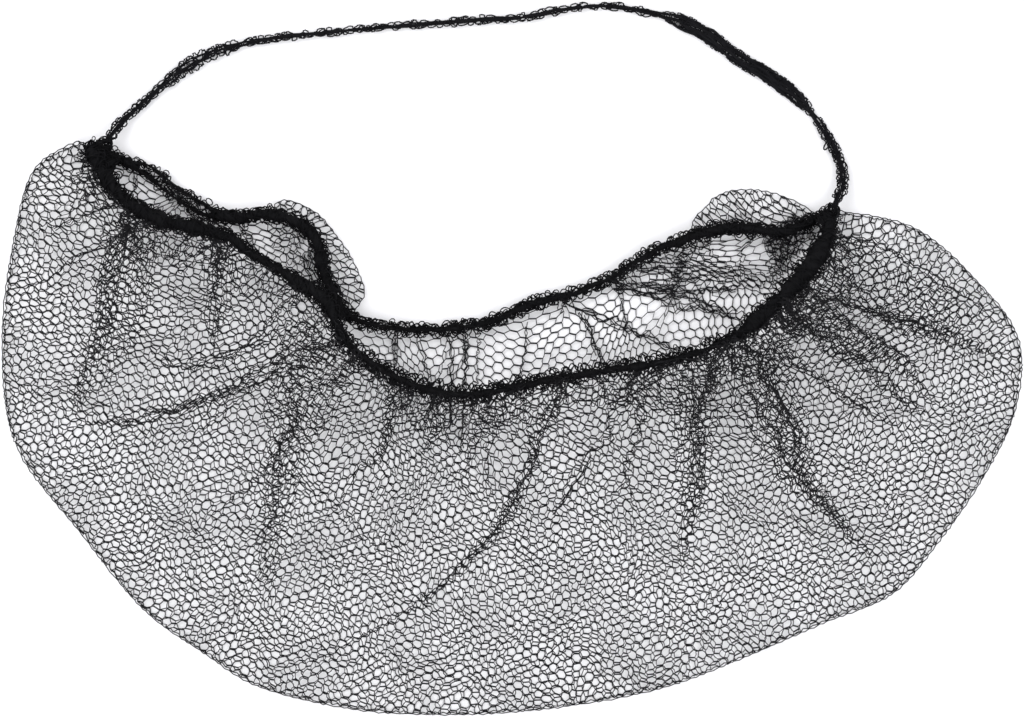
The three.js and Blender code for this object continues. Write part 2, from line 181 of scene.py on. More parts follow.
# %% Smooth lines
def smooth_line(points, places):
    """Points at places from 0 to 1 on the smooth line through points (..., n, 3)."""
    points = np.asarray(points, float)
    before = 2 * points[..., :1, :] - points[..., 1:2, :]
    after = 2 * points[..., -1:, :] - points[..., -2:-1, :]
    padded = np.concatenate([before, points, after], axis=-2)
    step = np.clip(places, 0, 1) * (points.shape[-2] - 1)
    first = np.minimum(step.astype(int), points.shape[-2] - 2)
    p0, p1, p2, p3 = (padded[..., first + k, :] for k in range(4))
    d0, d1, d2 = (
        np.sqrt(np.maximum(np.linalg.norm(b - a, axis=-1, keepdims=True), 1e-9))
        for a, b in ((p0, p1), (p1, p2), (p2, p3))
    )
    leave = ((p1 - p0) / d0 - (p2 - p0) / (d0 + d1) + (p2 - p1) / d1) * d1
    arrive = ((p2 - p1) / d1 - (p3 - p1) / (d1 + d2) + (p3 - p2) / d2) * d1
    t = (step - first)[:, None]
    square = -3 * p1 + 3 * p2 - 2 * leave - arrive
    cube = 2 * p1 - 2 * p2 + leave + arrive
    return p1 + t * (leave + t * (square + t * cube))


def unit(vectors):
    """The vectors at length 1."""
    return vectors / np.maximum(np.linalg.norm(vectors, axis=-1, keepdims=True), 1e-12)


def directions(points, places):
    """Unit directions of the smooth line at places."""
    reach = 1e-4
    ahead = smooth_line(points, np.minimum(places + reach, 1))
    behind = smooth_line(points, np.maximum(places - reach, 0))
    return unit(ahead - behind)


def lengths_along(points):
    """The distance of each point from the first, along the line of points."""
    steps = np.linalg.norm(np.diff(points, axis=-2), axis=-1)
    start = np.zeros((*steps.shape[:-1], 1))
    return np.concatenate([start, np.cumsum(steps, axis=-1)], axis=-1)


def read_off(rows, run, at):
    """Points or directions read off at distances, from rows whose own distances are run."""
    return np.stack([np.interp(at, run, rows[:, axis]) for axis in range(3)], axis=-1)


def ease(value, low, high):
    """0 below low, 1 above high, and smooth between."""
    t = np.clip((value - low) / (high - low), 0, 1)
    return t * t * (3 - 2 * t)


def stretch(value, rise, fall):
    """1 over a stretch, with smooth ends: it rises between two values and falls between two."""
    return ease(value, *rise) * ease(-value, -fall[1], -fall[0])


def hump(value, middle, reach):
    """1 at the middle, and less and less towards either side."""
    return np.exp(-(((value - middle) / reach) ** 2))


def radius_from(table, places):
    """Radii at places from 0 to 1, eased between the table's equal steps."""
    step = np.clip(places, 0, 1) * (len(table) - 1)
    first = np.minimum(step.astype(int), len(table) - 2)
    values = np.array(table, float)
    return values[first] + (values[first + 1] - values[first]) * ease(step - first, 0, 1)


FOLD = np.array([(*fold, FOLD_RISE) for fold, _, _, _, _ in SECTIONS])
FRONT_RIM = np.array([front for _, front, _, _, _ in SECTIONS], float)
rows = np.arange(len(SECTIONS)) / (len(SECTIONS) - 1)
BACK_RIM = np.array([back for _, _, back, _, _ in SECTIONS], float)
BACK_RIM[:, 2] += WALL + GAP + radius_from(BACK_RIM_RADII, rows)
# The model draws one smooth line through crowns and bulges together, so both are kept.
PUFF = np.array([(crown, bulge, 0) for _, _, _, crown, bulge in SECTIONS], float)

fine = np.linspace(0, 1, 4001)
fold_run = lengths_along(smooth_line(FOLD, fine))
FOLD_LENGTH = fold_run[-1]


def place_at(along):
    """The place in the tables for a share of the outer fold's length."""
    return np.interp(along, fold_run / FOLD_LENGTH, fine)


print("outer fold", round(FOLD_LENGTH), "mm")

# %% [markdown]
# ## The front layer's surface
#
# A section of the pouch runs from the front rim over the front layer to the outer fold
# and turns under there. All sections together make a grid over the front layer, in
# equal steps from the fold to the rim, and the net takes its heights from it. The back
# layer needs no grid, because it lies flat on the table up to its rim.

# %% Sections of the front layer
RIM_HOLD = 0.55  # the net ends inside a rim, this share of its radius from its middle
SHOULDER = (0.12, 0.7)  # share of the way to the fold, share of the rise up to the crown
CREST = 0.34  # share of the way at which the layer is as high as its crown
SLOPE = (0.7, 0.72)  # share of the way, share of the crown's height
LAST_DROP = 0.12  # share of the crown's height that is left where it turns under
SHORT_TURN = 0.2  # the turn takes no more than this share of a short section


def section_points(shares):
    """The points that each section runs through, and one more past the fold."""
    places = place_at(shares)
    fold = smooth_line(FOLD, places)
    rim = smooth_line(FRONT_RIM, places)
    crown = smooth_line(PUFF, places)[:, 0]
    level = np.array([1.0, 1.0, 0.0])

    run = directions(FRONT_RIM, places)
    forward = (fold - rim) * level
    side = unit(forward - run * np.sum(forward * run, -1, keepdims=True))
    rim_end = rim + side * (RIM_HOLD * radius_from(FRONT_RIM_RADII, places))[:, None]
    reach = np.linalg.norm(rim_end - fold, axis=-1)
    turn = np.minimum(FOLD_TURN, SHORT_TURN * reach)

    def over(share, height):
        """Points above the way from the rim to the fold."""
        at = rim_end + (fold - rim_end) * np.reshape(share, (-1, 1))
        at[:, 2] = height
        return at

    under = fold + unit((smooth_line(BACK_RIM, places) - fold) * level) * turn[:, None]
    under[:, 2] = FLOOR
    return np.stack(
        [
            rim_end,
            over(SHOULDER[0], rim_end[:, 2] * (1 - SHOULDER[1]) + crown * SHOULDER[1]),
            over(CREST, crown),
            over(SLOPE[0], SLOPE[1] * crown),
            over(1 - turn / reach, FOLD_RISE + LAST_DROP * crown),
            fold,
            under,
        ],
        axis=1,
    )


# %% The front layer's grid
ACROSS = 641  # sections along the mouth
DEEP = 97  # steps of a section from the fold to the rim
FROM_FOLD = np.linspace(5 / 6, 0, 121)  # the fold is the last but one of seven points

sections = smooth_line(section_points(np.linspace(0, 1, ACROSS)), FROM_FOLD)
runs = lengths_along(sections)
even_steps = np.linspace(0, 1, DEEP)
FRONT_GRID = np.stack(
    [read_off(line, run, even_steps * run[-1]) for line, run in zip(sections, runs)]
)
print("front layer up to", round(runs[:, -1].max()), "mm deep")

# %% [markdown]
# ## Finishes
#
# All of it is black nylon, but not one flat black: the thread of the net is smooth and
# a little glossy, the gathered rims are matt and dusty with loops that catch light, and
# the covered elastic has a ribbed look. A small class lets the maths of a finish be
# written as sums, and one method makes every other node.

# %% Sockets that can be added and multiplied
class Socket:
    """A node's output. Arithmetic on it adds the Math nodes."""

    def __init__(self, graph, output):
        self.graph = graph
        self.output = output

    def of(self, name):
        """Another output of the same node."""
        return Socket(self.graph, self.output.node.outputs[name])

    def maths(self, operation, *others):
        """The outcome of a Math node, with this socket as its first value."""
        return self.graph.node("ShaderNodeMath", {"operation": operation}, [self, *others])

    def __add__(self, other):
        return self.maths("ADD", other)

    def __mul__(self, other):
        return self.maths("MULTIPLY", other)

    __radd__ = __add__
    __rmul__ = __mul__


class Graph:
    """A tree of nodes that is written down in one method, for finishes and for shapes."""

    def __init__(self, tree):
        self.tree = tree

    def feed(self, node, inputs):
        """Gives a node's inputs their values or sockets, by name or in order."""
        for key, value in inputs.items() if isinstance(inputs, dict) else enumerate(inputs):
            if isinstance(value, Socket):
                self.tree.links.new(value.output, node.inputs[key])
            else:
                node.inputs[key].default_value = value

    def node(self, kind, settings=None, inputs=()):
        """Adds a node: its settings first, then its values and sockets."""
        made = self.tree.nodes.new(kind)
        for name, value in (settings or {}).items():
            setattr(made, name, value)
        self.feed(made, inputs)
        return Socket(self, made.outputs[0]) if len(made.outputs) else None


VIEWER_BLACK = (0.02, 0.02, 0.02, 1)  # how a viewer shows a finish before it is rendered


def finish(name, paint):
    """A material whose nodes are made by paint(graph), which returns the surface's inputs."""
    material = bpy.data.materials.new(name)
    material.use_nodes = True
    graph = Graph(material.node_tree)
    graph.feed(material.node_tree.nodes["Principled BSDF"], paint(graph))
    material.diffuse_color = VIEWER_BLACK
    return material


def mottle(graph, size, detail=2.0, roughness=0.5):
    """Soft patches of a size in metres, as a value about 0.5."""
    place = graph.node("ShaderNodeTexCoord").of("Object")
    return graph.node(
        "ShaderNodeTexNoise",
        {"noise_dimensions": "3D"},
        {"Vector": place, "Scale": 1 / size, "Detail": detail, "Roughness": roughness},
    )


def between(graph, share, dark, light):
    """A colour between two, by a share from 0 to 1."""
    factor, first_colour, second_colour, colour_out = 0, 6, 7, 2  # a Mix node's own order
    mixed = graph.node(
        "ShaderNodeMix", {"data_type": "RGBA"},
        {factor: share, first_colour: (*dark, 1), second_colour: (*light, 1)},
    )
    return Socket(graph, mixed.output.node.outputs[colour_out])


def bumps(graph, height, depth, strength):
    """A normal that follows a height, whose full range is depth metres."""
    return graph.node(
        "ShaderNodeBump", {}, {"Strength": strength, "Distance": depth, "Height": height}
    )


# %% The three finishes
def thread_twist(graph, turn):
    """Ridges of twisted filaments across a thread, by the distance run along it."""
    run = graph.node("ShaderNodeAttribute", {"attribute_name": "run"}).of("Fac")
    wave = (run * (math.tau / turn)).maths("SINE")
    return wave * 0.5 + 0.5


def nylon_thread(graph):
    """The net's own thread: smooth, with a little gloss."""
    patches = mottle(graph, 14 * MM)
    fuzz = mottle(graph, 0.9 * MM, 3.0)
    shade = patches * 0.6 + fuzz * 0.4
    twist = thread_twist(graph, 0.5 * MM)
    return {
        "Base Color": between(graph, shade, (0.004, 0.004, 0.005), (0.016, 0.016, 0.018)),
        "Roughness": 0.42 + fuzz * 0.22,
        "Normal": bumps(graph, twist * 0.7 + fuzz * 0.3, 0.05 * MM, 0.6),
        "Specular IOR Level": 0.12,
    }


def matted_thread(graph):
    """The rims' thread: matt, dusty and very dark between its loops."""
    patches = mottle(graph, 6 * MM)
    fuzz = mottle(graph, 0.5 * MM, 4.0, 0.65)
    shade = patches * 0.5 + fuzz * 0.5
    twist = thread_twist(graph, 0.6 * MM)
    return {
        "Base Color": between(graph, shade, (0.0015, 0.0015, 0.002), (0.011, 0.011, 0.012)),
        "Roughness": 0.62 + fuzz * 0.25,
        "Normal": bumps(graph, twist * 0.5 + fuzz * 0.5, 0.08 * MM, 0.8),
        "Specular IOR Level": 0.04,
    }


def covered_elastic(graph):
    """The strap's: elastic under a close winding of thread, which shows as fine ribs."""
    patches = mottle(graph, 9 * MM)
    fuzz = mottle(graph, 0.6 * MM, 3.0)
    ribs = thread_twist(graph, 0.45 * MM)
    return {
        "Base Color": between(
            graph, patches * 0.5 + ribs * 0.3, (0.003, 0.003, 0.004), (0.014, 0.014, 0.016)
        ),
        "Roughness": 0.55 + fuzz * 0.25,
        "Normal": bumps(graph, ribs * 0.75 + fuzz * 0.25, 0.07 * MM, 0.8),
        "Specular IOR Level": 0.06,
    }


NET_FINISH = finish("black nylon net thread", nylon_thread)
RIM_FINISH = finish("matted black rim thread", matted_thread)
STRAP_FINISH = finish("covered black elastic", covered_elastic)
print("finishes:", [m.name for m in (NET_FINISH, RIM_FINISH, STRAP_FINISH)])

# %% [markdown]
# ## How a thread is made
#
# Every thread starts as a bare line of points and edges. One tree of geometry nodes
# sweeps a small ring along each line. A number stored on the points, "thickness", says
# how thick the thread is there, and the tree stores how far it has run, "run", which
# the finishes read for the twist. The ring has only a few sides: a thread less than a
# third of a millimetre thick is seen as a dark line, and there are metres of it.

# %% The sweeping tree
def shape_tree(name, inputs):
    """A tree of geometry nodes with named inputs, its graph, and its input sockets."""
    tree = bpy.data.node_groups.new(name, "GeometryNodeTree")
    tree.interface.new_socket("Geometry", in_out="INPUT", socket_type="NodeSocketGeometry")
    for label, kind in inputs.items():
        tree.interface.new_socket(label, in_out="INPUT", socket_type=kind)
    tree.interface.new_socket("Geometry", in_out="OUTPUT", socket_type="NodeSocketGeometry")
    graph = Graph(tree)
    start = tree.nodes.new("NodeGroupInput")
    return graph, {s.name: Socket(graph, s) for s in start.outputs if s.name}


def close_tree(graph, shape, material):
    """Ends a tree with smooth faces, real geometry and its finish."""
    smooth = graph.node("GeometryNodeSetShadeSmooth", {}, {"Geometry": shape})
    real = graph.node("GeometryNodeRealizeInstances", {}, {"Geometry": smooth})
    painted = graph.node("GeometryNodeSetMaterial", {}, {"Geometry": real, "Material": material})
    graph.node("NodeGroupOutput", {}, {"Geometry": painted})


def named(graph, name):
    """A number stored on the points under a name."""
    return graph.node(
        "GeometryNodeInputNamedAttribute", {"data_type": "FLOAT"}, {"Name": name}
    )


def swept(graph, curve, radius, sides):
    """A ring swept along a curve, with the distance run stored as it goes."""
    run = graph.node("GeometryNodeSplineParameter").of("Length")
    kept = graph.node(
        "GeometryNodeStoreNamedAttribute",
        {"data_type": "FLOAT", "domain": "POINT"},
        {"Geometry": curve, "Name": "run", "Value": run},
    )
    ring = graph.node(
        "GeometryNodeCurvePrimitiveCircle", {"mode": "RADIUS"},
        {"Resolution": sides, "Radius": radius},
    )
    return graph.node(
        "GeometryNodeCurveToMesh", {},
        {
            "Curve": kept, "Profile Curve": ring, "Scale": named(graph, "thickness"),
            "Fill Caps": True,
        },
    )


def thread_tree():
    """The tree that turns bare lines into threads."""
    graph, given = shape_tree(
        "thread sweep",
        {
            "Thread Radius": "NodeSocketFloat",
            "Sides": "NodeSocketInt",
            "Finish": "NodeSocketMaterial",
        },
    )
    curve = graph.node("GeometryNodeMeshToCurve", {}, {"Mesh": given["Geometry"]})
    tube = swept(graph, curve, given["Thread Radius"], given["Sides"])
    close_tree(graph, tube, given["Finish"])
    return graph.tree


THREAD_SWEEP = thread_tree()
print("tree:", THREAD_SWEEP.name, len(THREAD_SWEEP.nodes), "nodes")


# %% [markdown]
# Loops are the other thing that repeats. A gathered edge sheds them along its whole
# length: small open loops of thread that stand out to both sides. The tree puts a bent
# ring at even steps along a line, turns each one to one side or the other with some
# chance in it, moves it out to the line's own "reach", and sweeps it like any thread.

# %% The looping tree
def loop_tree():
    """The tree that grows small open loops along a line."""
    graph, given = shape_tree(
        "looped edge",
        {
            "Spacing": "NodeSocketFloat",
            "Loop Length": "NodeSocketFloat",
            "Loop Height": "NodeSocketFloat",
            "Thread Radius": "NodeSocketFloat",
            "Seed": "NodeSocketInt",
            "Finish": "NodeSocketMaterial",
        },
    )

    def chance(low, high, seed):
        """A value set by chance for each loop, from low to high."""
        kind = "FLOAT_VECTOR" if isinstance(low, tuple) else "FLOAT"
        own_seed = given["Seed"] + seed
        made = graph.node("FunctionNodeRandomValue", {"data_type": kind}).output.node
        least, most = (s for s in made.inputs if s.enabled and s.name in ("Min", "Max"))
        least.default_value = low
        most.default_value = high
        graph.feed(made, {"Seed": own_seed})
        return Socket(graph, next(s for s in made.outputs if s.enabled))

    line = graph.node("GeometryNodeMeshToCurve", {}, {"Mesh": given["Geometry"]})
    level = graph.node("GeometryNodeSetCurveNormal", {"mode": "Z_UP"}, {"Curve": line})
    points = graph.node(
        "GeometryNodeCurveToPoints", {"mode": "LENGTH"},
        {"Curve": level, "Length": given["Spacing"]},
    )
    stands = points.of("Rotation")
    side = chance(0.0, 1.0, 1).maths("ROUND")
    about = graph.node(
        "FunctionNodeAxisAngleToRotation", {},
        {"Axis": (0, 0, 1), "Angle": side * math.pi + chance(-0.9, 0.9, 5)},
    )
    turned = graph.node(
        "FunctionNodeRotateRotation", {"rotation_space": "LOCAL"},
        {"Rotation": stands, "Rotate By": about},
    )
    lean = graph.node(
        "FunctionNodeEulerToRotation", {},
        {"Euler": chance((-0.7, -0.5, -0.5), (0.7, 0.5, 0.5), 2)},
    )
    leant = graph.node(
        "FunctionNodeRotateRotation", {"rotation_space": "LOCAL"},
        {"Rotation": turned, "Rotate By": lean},
    )
    ring = graph.node(
        "GeometryNodeCurvePrimitiveCircle", {"mode": "RADIUS"},
        {"Resolution": 8, "Radius": 0.5},
    )
    shape = graph.node(
        "ShaderNodeCombineXYZ", {}, [given["Loop Height"], 0.0, given["Loop Length"]]
    )
    upright = graph.node(
        "GeometryNodeTransform", {}, {"Geometry": ring, "Rotation": (math.pi / 2, 0, 0)}
    )
    sized = graph.node("GeometryNodeTransform", {}, {"Geometry": upright, "Scale": shape})
    growth = chance((0.5, 0.5, 0.5), (1.2, 1.2, 1.2), 3)
    placed = graph.node(
        "GeometryNodeInstanceOnPoints", {},
        {"Points": points, "Instance": sized, "Rotation": leant, "Scale": growth},
    )
    outward = graph.node(
        "ShaderNodeCombineXYZ", {}, [named(graph, "reach") * chance(0.65, 1.15, 4), 0.0, 0.0]
    )
    moved = graph.node(
        "GeometryNodeTranslateInstances", {}, {"Instances": placed, "Translation": outward}
    )
    rings = graph.node("GeometryNodeRealizeInstances", {}, {"Geometry": moved})
    one = graph.node(
        "GeometryNodeStoreNamedAttribute",
        {"data_type": "FLOAT", "domain": "POINT"},
        {"Geometry": rings, "Name": "thickness", "Value": 1.0},
    )
    tube = swept(graph, one, given["Thread Radius"], 4)
    close_tree(graph, tube, given["Finish"])
    return graph.tree


LOOPED_EDGE = loop_tree()
print("tree:", LOOPED_EDGE.name, len(LOOPED_EDGE.nodes), "nodes")


# %% Lines into threads
def line_mesh(name, lines, numbers=None):
    """A mesh of bare edges from lines of points in mm, with numbers stored on them."""
    points = np.concatenate(lines) * MM
    starts = np.cumsum([0] + [len(line) for line in lines])
    joined = np.ones(len(points), bool)
    joined[starts[1:] - 1] = False
    first = np.flatnonzero(joined)
    mesh = bpy.data.meshes.new(name)
    mesh.vertices.add(len(points))
    mesh.vertices.foreach_set("co", points.astype(np.float32).ravel())
    mesh.edges.add(len(first))
    mesh.edges.foreach_set("vertices", np.stack([first, first + 1], 1).ravel())
    for label, values in (numbers or {}).items():
        stored = mesh.attributes.new(label, "FLOAT", "POINT")
        stored.data.foreach_set("value", np.concatenate(values).astype(np.float32))
    mesh.update()
    return mesh


def grown(name, lines, tree, numbers=None, **sizes):
    """A finished mesh that a tree grows on lines. Its modifier is used up."""
    carrier = bpy.data.objects.new(name, line_mesh(name, lines, numbers))
    bpy.context.scene.collection.objects.link(carrier)
    nodes = carrier.modifiers.new("grow", "NODES")
    nodes.node_group = tree
    for item in tree.interface.items_tree:
        label = item.name.replace(" ", "_").lower()
        if item.item_type == "SOCKET" and item.in_out == "INPUT" and label in sizes:
            nodes[item.identifier] = sizes[label]
    ready = carrier.evaluated_get(bpy.context.evaluated_depsgraph_get())
    mesh = bpy.data.meshes.new_from_object(ready)
    bpy.data.objects.remove(carrier)
    mesh.name = name
    return mesh


def joined_piece(name, meshes, slot, *stands_for):
    """One piece from several meshes, riding on the net's one body."""
    parts = [bpy.data.objects.new(name, mesh) for mesh in meshes]
    for part in parts:
        bpy.context.scene.collection.objects.link(part)
    if len(parts) > 1:
        with bpy.context.temp_override(active_object=parts[0], selected_editable_objects=parts):
            bpy.ops.object.join()
    piece = parts[0]
    piece.name = name
    piece.data.name = name
    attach(piece, "root")
    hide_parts(*stands_for)
    triangles = sum(len(p.vertices) - 2 for p in piece.data.polygons)
    print(f"{name}: {triangles} triangles")
    return piece


# %% [markdown]
# ## The head strap
#
# A thin knitted elastic: a few strands side by side, wound by a thread, with another
# along each edge that arches out every two or three millimetres. Where it is slack the
# strands bunch into a wide band, and near the left end they tangle. It comes first of
# all the pieces, because a free cord has to be as long as it says.

# %% Wandering numbers
def wander(rng, count, step, size):
    """Numbers that drift smoothly by chance: a new value every so many places."""
    knots = max(4, int(count / step) + 3)
    values = rng.normal(0, size, knots)
    places = np.linspace(0, knots - 1, count)
    first = np.minimum(places.astype(int), knots - 2)
    t = places - first
    t = t * t * (3 - 2 * t)
    return values[first] * (1 - t) + values[first + 1] * t


def frames_along(line):
    """Unit vectors sideways and upwards at each point of a line that lies fairly flat."""
    along = unit(np.gradient(line, axis=0))
    sideways = unit(np.cross([0, 0, 1.0], along))
    return sideways, np.cross(along, sideways)


def even_line(line, step):
    """The same line, in equal steps."""
    run = lengths_along(line)
    count = max(2, int(round(run[-1] / step)) + 1)
    return read_off(line, run, np.linspace(0, run[-1], count))


def coiled(line, radius, turn, start, rng, rough):
    """A line that winds round another at a radius, with some play in it."""
    sideways, upwards = frames_along(line)
    run = lengths_along(line)
    angle = start + math.tau * run / turn + wander(rng, len(line), 6, 2.2 * rough)
    reach = np.broadcast_to(radius, len(line)) * (1 + wander(rng, len(line), 5, rough))
    return (
        line
        + sideways * (reach * np.cos(angle))[:, None]
        + upwards * (reach * np.sin(angle))[:, None]
    )


def lifted(lines, least):
    """Lines whose points are kept at a least height above the table."""
    for line in lines:
        line[:, 2] = np.maximum(line[:, 2], least)
    return lines


# %% The strap's route
STRAP_THREAD = 0.34
STRAP_STRANDS = 6
STRAP_WINDINGS = (2.6, -3.3)  # mm along the strap in one turn, one way and the other
STRAP_LOWEST = 0.35
rng = np.random.default_rng(11)
strap_line = even_line(smooth_line(STRAP_ROUTE, np.linspace(0, 1, 900)), 0.7)
strap_run = lengths_along(strap_line)
STRAP_LENGTH = strap_run[-1] * MM
strap_x = strap_line[:, 0]
BUNCHED = stretch(strap_x, (42, 52), (84, 89))
TANGLED = stretch(strap_x, (-106, -100), (-88, -78))
NEAR_TIES = ease(strap_x, 88, 92) + 0.6 * ease(-strap_x, 104, 108)
strap_half = 0.62 + 1.25 * BUNCHED + 0.4 * TANGLED + 0.3 * NEAR_TIES
strap_half += wander(rng, len(strap_x), 5, 0.12)
print("strap", round(STRAP_LENGTH, 3), "m long, up to", round(2 * strap_half.max(), 1), "mm wide")

# %% The strap's strands and windings
lines, thickness = [], []
sideways, upwards = frames_along(strap_line)
for strand in range(STRAP_STRANDS):
    across = (strand / (STRAP_STRANDS - 1) - 0.5) * 2 * (strap_half - 0.3)
    play = wander(rng, len(strap_line), 5, 0.22) * (0.7 + 0.3 * BUNCHED + 1.3 * TANGLED)
    lift = wander(rng, len(strap_line), 4, 0.18)
    strand_line = strap_line + sideways * (across + play)[:, None] + upwards * lift[:, None]
    lines.append(strand_line[::2])
    thickness.append(((0.24 + 0.26 * BUNCHED) / (STRAP_THREAD / 2))[::2])
for turn in STRAP_WINDINGS:
    middle = even_line(strap_line, 0.6)
    at = lengths_along(middle)
    half = np.interp(at, strap_run, strap_half)
    angle = math.tau * at / turn + wander(rng, len(at), 9, 0.5)
    wide, high = frames_along(middle)
    winding = middle + wide * (half * np.cos(angle))[:, None]
    lines.append(winding + high * (0.6 * np.sin(angle))[:, None])
    thickness.append(np.full(len(at), 1.1))
print(len(lines), "strands and windings")


# %% Scallops
UNEVEN = (0.62, 1.38)  # least and greatest share of an arch's own length and height
ARCH_POINTS = 8
END_CLEAR = 3.2  # no arch starts nearer to the line's end than this


def scallops(line, side, half, tall, length, left_out, rng):
    """A thread that arches out from an edge and back to it, time after time."""
    run = lengths_along(line)
    sideways, upwards = frames_along(line)
    at = rng.uniform(0.3, 1.5)
    points = []
    while at < run[-1] - END_CLEAR:
        k = int(np.searchsorted(run, at))
        long = length[k] * rng.uniform(*UNEVEN)
        high = tall[k] * rng.uniform(*UNEVEN) * (rng.uniform() > left_out[k])
        peak = rng.uniform(0.35, 0.65)
        sharp = rng.uniform(0.55, 1.0)
        tilt = rng.normal(0, 0.35)
        for turn in np.linspace(0, 1, ARCH_POINTS):
            bow = math.sin(math.pi * turn ** (math.log(0.5) / math.log(peak))) ** sharp
            j = int(np.clip(np.searchsorted(run, at + long * turn), 0, len(line) - 1))
            reach = side * (half[j] + high * bow)
            points.append(
                line[j]
                + sideways[j] * reach * math.cos(tilt)
                + upwards[j] * (reach * math.sin(tilt))
            )
        at += long * rng.uniform(0.8, 1.1)
    points = np.array(points)
    steps = np.linalg.norm(np.diff(points, axis=0), axis=1)
    return points[np.concatenate([[True], steps > 0.1])]


for side in (-1, 1, 1, -1):
    edge = scallops(
        strap_line, side, strap_half - 0.15,
        0.8 * (1 + 0.45 * TANGLED) * (1 - 0.35 * BUNCHED),
        2.6 * (1 - 0.2 * TANGLED - 0.5 * BUNCHED - 0.2 * NEAR_TIES),
        0.42 - 0.2 * TANGLED - 0.25 * BUNCHED - 0.3 * NEAR_TIES, rng,
    )
    lines.append(edge)
    thickness.append(np.full(len(edge), 1.3))

# One long loop has come free near the right end.
FREE_LOOP = np.array([93.4, 82.6, 2.0])
around = np.linspace(0, math.tau, 14)[:-1, None]
loop = FREE_LOOP + np.cos(around) * (0.8, 1.3, 0) + np.sin(around) * (0.5, -0.3, 0.3)
lines.append(loop)
thickness.append(np.full(len(loop), 1.5))
print(len(lines), "threads in the strap")

# %% The strap
strap_mesh = grown(
    "head_strap_elastic", lifted(lines, STRAP_LOWEST), THREAD_SWEEP, {"thickness": thickness},
    thread_radius=STRAP_THREAD / 2 * MM, sides=5, finish=STRAP_FINISH,
)
strap = joined_piece("head_strap_elastic", [strap_mesh], "elastic_strap", "head_strap")

# %% [markdown]
# ## The gathered rims
#
# At each rim the net is drawn together on an elastic until it is more thread than
# hole. Close to, that is a rope: strands that run along it at every depth, a thread
# wound round them that ties them in, and loops of net that escape along both edges. The
# middle is packed full, so a few thick strands make it opaque, and the light only comes
# through in pinholes near the edges.

# %% A rim of wound strands
RIM_THREAD = 0.3
CORE_STRANDS = 6
CORE_TURN = 13  # mm along the rim in one turn of the thick strands in its middle
RIM_WINDINGS = (2.4, -3.3)
RIM_LOWEST = 0.25


def rim_core(line, core_radius, opened, sideways, rng):
    """The thick strands that fill a rim's middle, and how thick they are."""
    strands, widths = [], []
    close_in = 0.45 * core_radius * (1 - 0.75 * opened)
    for k in range(CORE_STRANDS):
        middle = line + sideways * (opened * 1.5 * (-1) ** k)[:, None]
        start = math.tau * k / CORE_STRANDS
        strands.append(coiled(middle, close_in, CORE_TURN, start, rng, 0.22))
        widths.append(0.52 * core_radius * (1 - 0.45 * opened) / (RIM_THREAD / 2))
    return strands, widths


def rim_lace(line, run, radius, core_radius, rng):
    """Threads that arch out of the middle to either side, like the scallops of lace."""
    fine_line = even_line(line, 0.25)
    at = lengths_along(fine_line)
    inner = np.interp(at, run, 0.7 * core_radius + 0.1)
    lace = np.interp(at, run, 1.25 * radius + 0.4 - 0.3 * core_radius) - inner
    left_out = np.full(len(at), 0.15)
    for side in (-1, 1, -1, 1):
        tall = lace * rng.uniform(0.8, 1.05)
        length = np.full(len(at), rng.uniform(2.0, 3.0))
        yield scallops(fine_line, side, inner, tall, length, left_out, rng)


def rim_piece(name, line, radius, full, seed, stands_for, strands, opened):
    """A rim: a full middle, strands and windings over it, and a fringe of small loops."""
    rng = np.random.default_rng(seed)
    run = lengths_along(line)
    sideways, _ = frames_along(line)
    radius = radius * (1 + wander(rng, len(line), 3, 0.09)) + 0.6 * opened
    line = line + sideways * wander(rng, len(line), 8, 0.25)[:, None]
    core_radius = full * radius * (1 + wander(rng, len(line), 2.5, 0.13))
    cores, widths = rim_core(line, core_radius, opened, sideways, rng)
    lines, thickness = [], []
    for _ in range(strands):
        depth = (full + (0.8 - 0.7 * full) * rng.uniform(0, 1)) * radius
        turn = rng.choice([-1, 1]) * rng.uniform(6, 22)
        lines.append(coiled(line, depth, turn, rng.uniform(0, math.tau), rng, 0.2))
        thickness.append(np.full(len(line), rng.uniform(0.8, 1.4)))
    for edge in rim_lace(line, run, radius, core_radius, rng):
        lines.append(edge)
        thickness.append(np.full(len(edge), 1.35))
    at = np.linspace(0, run[-1], int(run[-1] / 0.2))
    around = np.interp(at, run, np.minimum(1.1 * core_radius + 0.15, radius))
    for turn in RIM_WINDINGS:
        lines.append(coiled(read_off(line, run, at), 0.98 * around, turn, 0, rng, 0.25))
        thickness.append(np.full(len(at), 1.1))
    core = grown(
        name, lifted(cores, RIM_LOWEST), THREAD_SWEEP, {"thickness": widths},
        thread_radius=RIM_THREAD / 2 * MM, sides=8, finish=RIM_FINISH,
    )
    rope = grown(
        name, lifted(lines, RIM_LOWEST), THREAD_SWEEP, {"thickness": thickness},
        thread_radius=RIM_THREAD / 2 * MM, sides=4, finish=RIM_FINISH,
    )
    loops = grown(
        name, [line], LOOPED_EDGE, {"reach": [radius * MM]},
        spacing=0.55 * MM, loop_length=2.2 * MM, loop_height=1.6 * MM,
        thread_radius=0.6 * RIM_THREAD * MM, seed=seed, finish=RIM_FINISH,
    )
    joined_piece(name, [core, rope, loops], "gathered_edge", stands_for)


def rim_line(points):
    """A rim's middle line, between the ties, and the share of the mouth at each point."""
    trim = TIE_SHARE / 4
    shares = np.linspace(trim, 1 - trim, 1500)
    dense = smooth_line(points, shares)
    line = even_line(dense, 1.0)
    at = np.linspace(0, lengths_along(dense)[-1], len(line))
    return line, np.interp(at, lengths_along(dense), shares)


# %% [markdown]
# A rim's thickness comes from the model's table, and then from what is seen along it:
# a lump where the front rim turns, thin stretches where little net is gathered. How
# full it is says how much of that thickness is solid thread: near the ties most of it,
# and half way between them a third, with lace round it. Between the left tie and the
# first lobe the back rim has come apart into two strands.

